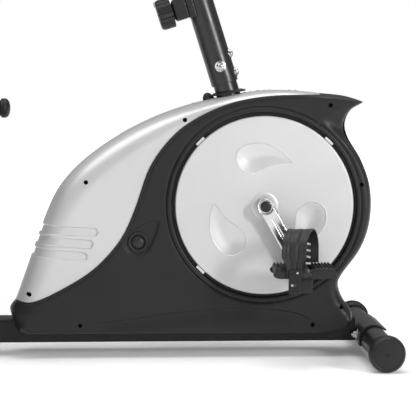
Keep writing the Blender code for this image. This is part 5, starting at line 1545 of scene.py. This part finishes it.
def make_lever():
    place = lever_place()
    start = 0.0053
    hub = [(0, start + 0.016), (0.010, start + 0.016), (0.0122, start + 0.0152), (0.0136, start + 0.0132),
           (0.0140, start + 0.010), (0.0140, start + 0.001), (0.0132, start + 0.0002), (0.006, start), (0.006, 0.0008), (0, 0.0008)]
    lever = lathe("seat_clamp_lever", hub, place, -ALONG_Y, 48)
    way = Vector((math.cos(math.radians(-25)), 0, math.sin(math.radians(-25))))
    base = place - ALONG_Y * (start + 0.009)
    path = smooth([base, base + way * 0.030 - ALONG_Y * 0.006, base + way * 0.062 - ALONG_Y * 0.011,
                   base + way * 0.0945 - ALONG_Y * 0.016], 8)
    arm = sweep("arm", path, [(0.0062 * math.cos(a), 0.0048 * math.sin(a)) for a in np.linspace(0, 2 * math.pi, 25)[:-1]],
                way.cross(ALONG_Y))
    paddle = lathe("paddle", [(0, 0.0018), (0.0035, 0.0014), (0.0062, -0.001), (0.0074, -0.006), (0.0072, -0.030),
                              (0.0056, -0.038), (0, -0.040)], path[-1], (path[-1] - path[-4]).normalized(), 32)
    piece(fuse(lever, arm, paddle), "seat_lever", TRIM_BLACK, "seat_clamp_lever")
    screw = button_head("lever_screw", place - ALONG_Y * (start + 0.0158), -ALONG_Y, 0.0050, 0.0030, 1.3, 0.001)
    piece(screw, "seat_lever", ZINC)


# ---- Cushions ------------------------------------------------------------------------------------

SEAT_SHAPE = ((0.168, 0.150), (0.172, 0.0), (0.168, -0.150), (0.100, -0.184), (-0.100, -0.192), (-0.166, -0.184),
              (-0.170, 0.0), (-0.166, 0.184), (-0.100, 0.192), (0.100, 0.184))
BACK_SHAPE = ((0.217, 0.120), (0.222, 0.0), (0.217, -0.120), (0.150, -0.178), (0.0, -0.192), (-0.150, -0.186), (-0.212, -0.160),
              (-0.219, 0.0), (-0.212, 0.160), (-0.150, 0.186), (0.0, 0.192), (0.150, 0.178))
CUSHIONS = {
    "seat_cushion": {"shape": SEAT_SHAPE, "thick": 0.0840, "dish": 0.10, "fall": 0.20, "cap": 0.024},
    "back_cushion": {"shape": BACK_SHAPE, "thick": 0.0630, "dish": 0.12, "fall": 0.10, "cap": 0.022},
}
VOXEL = 0.006


def cushion_place(name):
    """The middle of a cushion's underside, with its own length, width and height as axes."""
    if name == "seat_cushion":
        lowest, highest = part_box(name)
        return Matrix.Translation(Vector(((lowest.x + highest.x) / 2, 0, lowest.z)))
    place = back_place(0.745) + BACK_OUT * (BACK_TUBE_R + 0.003)
    turn = Matrix((BACK_UP, BACK_OUT.cross(BACK_UP), BACK_OUT)).transposed()
    return Matrix.Translation(place) @ turn.to_4x4()


def start_shape(name, shape, thick):
    """The cushion before it swells: the outline drawn in by the swelling, and nearly as thick."""
    line = spaced(smooth([(*p, 0) for p in shape], 8, closed=True), 0.008, closed=True)
    rows = ((0.000, 0.958), (0.006, 0.972), (0.30, 0.978), (0.70, 0.976), (0.92, 0.955), (1.0, 0.915))
    points, faces = [], []
    count = len(line)
    for rise, scale in rows:
        height = rise * thick * 0.86 if rise > 0.01 else rise
        points += [Vector((p[0] * scale, p[1] * scale, height)) for p in line]
    for r in range(len(rows) - 1):
        for i in range(count):
            j = (i + 1) % count
            faces.append((r * count + i, r * count + j, (r + 1) * count + j, (r + 1) * count + i))
    faces += [tuple(range(count)), tuple(range((len(rows) - 1) * count, len(rows) * count))]
    made = solid(name, points, faces)
    change = made.modifiers.new("voxels", "REMESH")
    change.mode = "VOXEL"
    change.voxel_size = VOXEL
    return bake(made)


def swell(pads):
    """Blows the pads up as cloth, all of them together."""
    scene = bpy.context.scene
    before = {}
    for name, pad in pads.items():
        before[name] = np.array([v.co[:] for v in pad.data.vertices])
        cloth = pad.modifiers.new("cloth", "CLOTH")
        cloth.settings.quality = 4
        cloth.settings.use_pressure = True
        cloth.settings.uniform_pressure_force = 4.0
        cloth.settings.effector_weights.gravity = 0.0
        cloth.collision_settings.use_collision = False
    for number in range(1, 21):
        scene.frame_set(number)
    for name, pad in pads.items():
        bake(pad)
        cap = CUSHIONS[name]["cap"]
        start = before[name]
        moved = np.array([v.co[:] for v in pad.data.vertices]) - start
        length = np.linalg.norm(moved, axis=1)[:, None]
        placed = start + moved * np.minimum(1, cap / np.maximum(length, 1e-9))
        pad.data.vertices.foreach_set("co", placed.ravel())
        ease = pad.modifiers.new("wrinkles_eased", "SMOOTH")
        ease.iterations = 24
        bake(pad)
    scene.frame_set(1)


def mould(pad, shape, thick, dish, fall, cap):
    """Rounds the pad, sets it in its box with a flat underside, and dishes its top."""
    change = pad.modifiers.new("finer", "SUBSURF")
    change.levels = change.render_levels = 1
    bake(pad)
    points = np.array([v.co[:] for v in pad.data.vertices])
    reach = np.abs(np.array(shape)).max(axis=0) + 0.003
    points[:, 0] *= reach[0] / np.abs(points[:, 0]).max()
    points[:, 1] *= reach[1] / np.abs(points[:, 1]).max()
    points[:, 2] -= np.percentile(points[:, 2], 2)
    points[:, 2] = np.maximum(points[:, 2], 0.0) * thick / points[:, 2].max()
    u, v = points[:, 0] / reach[0], points[:, 1] / reach[1]
    lower = dish * np.exp(-(u / 0.75) ** 2 - (v / 0.50) ** 2) + fall * step(u, 0.45, 1.1)
    points[:, 2] *= 1 - lower
    pad.data.vertices.foreach_set("co", points.ravel())
    return reach


def channel(pad, lines, width, depth):
    """Presses sewn channels into the top of the pad along the lines, (forward, across)."""
    points = np.array([v.co[:] for v in pad.data.vertices])
    gap = np.full(len(points), 9.0)
    for line in lines:
        gap = np.minimum(gap, distance(points[:, :2], line)[0])
    top = step(points[:, 2], 0.55 * points[:, 2].max(), 0.75 * points[:, 2].max())
    points[:, 2] -= depth * top * np.exp(-(gap / width) ** 2)
    pad.data.vertices.foreach_set("co", points.ravel())
    pad.data.update()


def dropped(tree, line, lift):
    """Where a line across the pad lies on its top."""
    found = []
    for p in line:
        hit = tree.ray_cast(Vector((p[0], p[1], 0.3)), Vector((0, 0, -1)))
        if hit[0] is not None:
            found.append((hit[0] + hit[1] * lift, hit[1]))
    return found


def stitches(lines, length=0.0042, gap=0.0074, radius=0.00055):
    """Short threads laid end to end along (place, normal) lines."""
    points, faces = [], []
    size = 6
    rings = ((-0.5, 0.35), (-0.3, 1.0), (0.3, 1.0), (0.5, 0.35))
    for line in lines:
        travelled = 0.0
        for (one, normal), (two, _) in zip(line, line[1:]):
            travelled += (two - one).length
            if travelled < gap or (two - one).length < 1e-6:
                continue
            travelled = 0.0
            way = (two - one).normalized()
            across = way.cross(normal).normalized()
            start = len(points)
            for along, share in rings:
                for k in range(size):
                    a = 2 * math.pi * k / size
                    off = (across * math.cos(a) + normal * math.sin(a)) * radius * share
                    points.append(one + way * along * length + off)
            for r in range(len(rings) - 1):
                for k in range(size):
                    m = (k + 1) % size
                    base = start + r * size
                    faces.append((base + k, base + m, base + size + m, base + size + k))
            faces += [tuple(start + k for k in range(size)), tuple(start + 3 * size + k for k in range(size))]
    return solid("stitches", points, faces)


def side_loop(tree, shape, level, lift):
    """A loop round the pad's side at a level."""
    found = []
    for p in spaced(smooth([(*q, 0) for q in shape], 8, closed=True), 0.006, closed=True):
        out = Vector((p[0], p[1], 0)).normalized()
        hit = tree.ray_cast(Vector((p[0], p[1], level)) + out * 0.15, -out)
        if hit[0] is not None:
            found.append(hit[0] + out * lift)
    line = [Vector(p) for p in found]
    for _ in range(4):
        line = [(line[i - 1] + p * 2 + line[(i + 1) % len(line)]) / 4 for i, p in enumerate(line)]
    return line


def seat_seams(reach):
    a, b = reach
    lines = [[(-0.80 * a, side * 0.60 * b), (-0.2 * a, side * 0.62 * b), (0.45 * a, side * 0.58 * b), (0.80 * a, side * 0.50 * b)]
             for side in (-1, 1)]
    lines += [[(x * a, -0.60 * b), (x * a - 0.006, 0.0), (x * a, 0.60 * b)] for x in (-0.48, -0.12, 0.24, 0.58)]
    return [spaced(smooth([(*p, 0) for p in line], 8), 0.002)[:, :2] for line in lines]


def back_seams(reach):
    a, b = reach
    lines = [[(-0.84 * a, side * 0.56 * b), (-0.2 * a, side * 0.62 * b), (0.45 * a, side * 0.58 * b), (0.84 * a, side * 0.46 * b)]
             for side in (-1, 1)]
    lines += [[(x * a, -0.60 * b), (x * a + 0.008, 0.0), (x * a, 0.60 * b)] for x in (-0.56, -0.28, 0.0, 0.28, 0.56)]
    return [spaced(smooth([(*p, 0) for p in line], 8), 0.002)[:, :2] for line in lines]


def make_cushions():
    pads = {name: start_shape(name, how["shape"], how["thick"]) for name, how in CUSHIONS.items()}
    swell(pads)
    for name, pad in pads.items():
        dress_cushion(name, pad)


def dress_cushion(name, pad):
    how = CUSHIONS[name]
    reach = mould(pad, **how)
    lines = seat_seams(reach) if name == "seat_cushion" else back_seams(reach)
    channel(pad, lines, 0.0055, 0.0075)
    tree = BVHTree.FromPolygons([v.co for v in pad.data.vertices], [p.vertices[:] for p in pad.data.polygons])
    threads = []
    for line in lines:
        way = np.gradient(line, axis=0)
        normal = np.stack([-way[:, 1], way[:, 0]], axis=1) / np.linalg.norm(way, axis=1)[:, None]
        threads += [dropped(tree, line + normal * side * 0.0085, 0.0001) for side in (-1, 1)]
    thread = stitches(threads)
    loops = []
    for share in (0.80, 0.16):
        level = share * how["thick"] * (1 - how["fall"] * 0.4)
        loops.append(sweep("piping", side_loop(tree, how["shape"], level, 0.0004), round_section(0.0024, 12), UP, closed=True))
    piping = merge(name + "_piping", *loops)
    thread.name = name + "_stitches"
    place = cushion_place(name)
    for part in (pad, thread, piping):
        part.data.transform(place)
        part.data.update()
    piece(pad, "seat", VINYL, name, angle=70)
    piece(thread, "seat", THREAD, angle=50)
    piece(piping, "seat", PIPING, angle=60)


# ---- Assembly ------------------------------------------------------------------------------------

KEPT = (
    (GLOSS_BLACK, ("mast_post", "flywheel_plate_left", "flywheel_plate_right")),
    (STEEL, ("crank_bearing_left", "crank_bearing_right", "crank_axle", "pulley_shaft", "magnet_arm")),
    (TRIM_BLACK, ("drive_pulley",)),
    (RUBBER, ("drive_belt",)),
    (IRON, ("flywheel",)),
)


def dress_kept():
    for finish, names in KEPT:
        for name in names:
            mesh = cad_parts[name].data
            if not mesh.materials:
                mesh.materials.append(finish)
            for slot in range(len(mesh.materials)):
                mesh.materials[slot] = finish


def area_light(name, place, aim, width, height, power):
    lamp = bpy.data.lights.new(name, "AREA")
    lamp.shape = "RECTANGLE"
    lamp.size = width
    lamp.size_y = height
    lamp.energy = power
    made = bpy.data.objects.new(name, lamp)
    made.location = place
    made.rotation_euler = (Vector(aim) - Vector(place)).to_track_quat("-Z", "Y").to_euler()
    bpy.context.scene.collection.objects.link(made)


def make_stage():
    """Plain pale floor, soft light and the camera."""
    size = 14.0
    floor = solid("floor", [(-size, -size, 0), (size, -size, 0), (size, size, 0), (-size, size, 0)], [(0, 1, 2, 3)])
    floor.location.z = -0.0004
    finish = paint("pale_floor", "grey_plastic", (0.93, 0.93, 0.93), 0.8, specular=0.1, vary=0.003, depth=0.00001)
    nodes, links = finish.node_tree.nodes, finish.node_tree.links
    shader = nodes["Principled BSDF"]
    shader.inputs["Emission Strength"].default_value = 1.0
    reach = nodes.new("ShaderNodeVectorMath")
    reach.operation = "LENGTH"
    links.new(nodes.new("ShaderNodeTexCoord").outputs["Object"], reach.inputs[0])
    near = nodes.new("ShaderNodeMapRange")
    near.inputs["From Min"].default_value = 0.9
    near.inputs["From Max"].default_value = 4.0
    links.new(reach.outputs["Value"], near.inputs["Value"])
    glow = ramp(nodes, links, near.outputs["Result"], ((0.0, grey(FLOOR_GLOW)), (1.0, grey(1.0))))
    links.new(glow, shader.inputs["Emission Color"])
    floor.data.materials.append(finish)

    world = bpy.data.worlds.new("studio")
    bpy.context.scene.world = world
    world.use_nodes = True
    nodes, links = world.node_tree.nodes, world.node_tree.links
    nodes.clear()
    out = nodes.new("ShaderNodeOutputWorld")
    seen, lit, mix = nodes.new("ShaderNodeBackground"), nodes.new("ShaderNodeBackground"), nodes.new("ShaderNodeMixShader")
    path = nodes.new("ShaderNodeLightPath")
    seen.inputs["Color"].default_value = (1, 1, 1, 1)
    lit.inputs["Strength"].default_value = WORLD_LIGHT
    place = nodes.new("ShaderNodeTexCoord").outputs["Generated"]
    split = nodes.new("ShaderNodeSeparateXYZ")
    links.new(place, split.inputs["Vector"])
    sky = ramp(nodes, links, split.outputs["Z"], ((0.0, grey(0.8)), (0.9, grey(2.4))))
    links.new(sky, lit.inputs["Color"])
    links.new(path.outputs["Is Camera Ray"], mix.inputs["Fac"])
    links.new(lit.outputs["Background"], mix.inputs[1])
    links.new(seen.outputs["Background"], mix.inputs[2])
    links.new(mix.outputs["Shader"], out.inputs["Surface"])

    area_light("key", AXLE + Vector((2.6, -3.1, 1.35)), AXLE, 0.42, 1.1, KEY_POWER)
    area_light("fill", AXLE + Vector((-1.8, -0.8, 2.7)), AXLE, 2.4, 2.0, FILL_POWER)
    area_light("top", AXLE + Vector((0.1, 0.0, 3.2)), AXLE, 2.4, 2.0, TOP_POWER)

    lens = bpy.data.cameras.new("camera")
    lens.lens = 136.6
    lens.sensor_width = 36
    camera = bpy.data.objects.new("camera", lens)
    camera.location = (0.2075, -2.975, 0.5044)
    camera.rotation_euler = Vector((0.0429, 1, -0.0770)).to_track_quat("-Z", "Y").to_euler()
    bpy.context.scene.collection.objects.link(camera)
    bpy.context.scene.camera = camera
    bpy.context.scene.view_settings.view_transform = "Standard"


FLOOR_GLOW = 0.12
WORLD_LIGHT = 0.22
KEY_POWER = 105.0
FILL_POWER = 36.0
TOP_POWER = 55.0

make_base()
make_mast()
make_tension_control()
make_console()
make_front_handlebar()
for side, sign in SIDES:
    make_cover(side, sign)
    make_shell(side, sign)
    make_screws(side, sign)
    make_disc(side, sign)
    eye = make_crank_arm(side, sign)
    make_pedal(side, sign, eye)
    make_strap(side, sign, eye)
make_plug()
make_seat_support()
make_carriage()
make_seat_frame()
make_seat_handlebar()
make_lever()
make_cushions()
dress_kept()
make_stage()
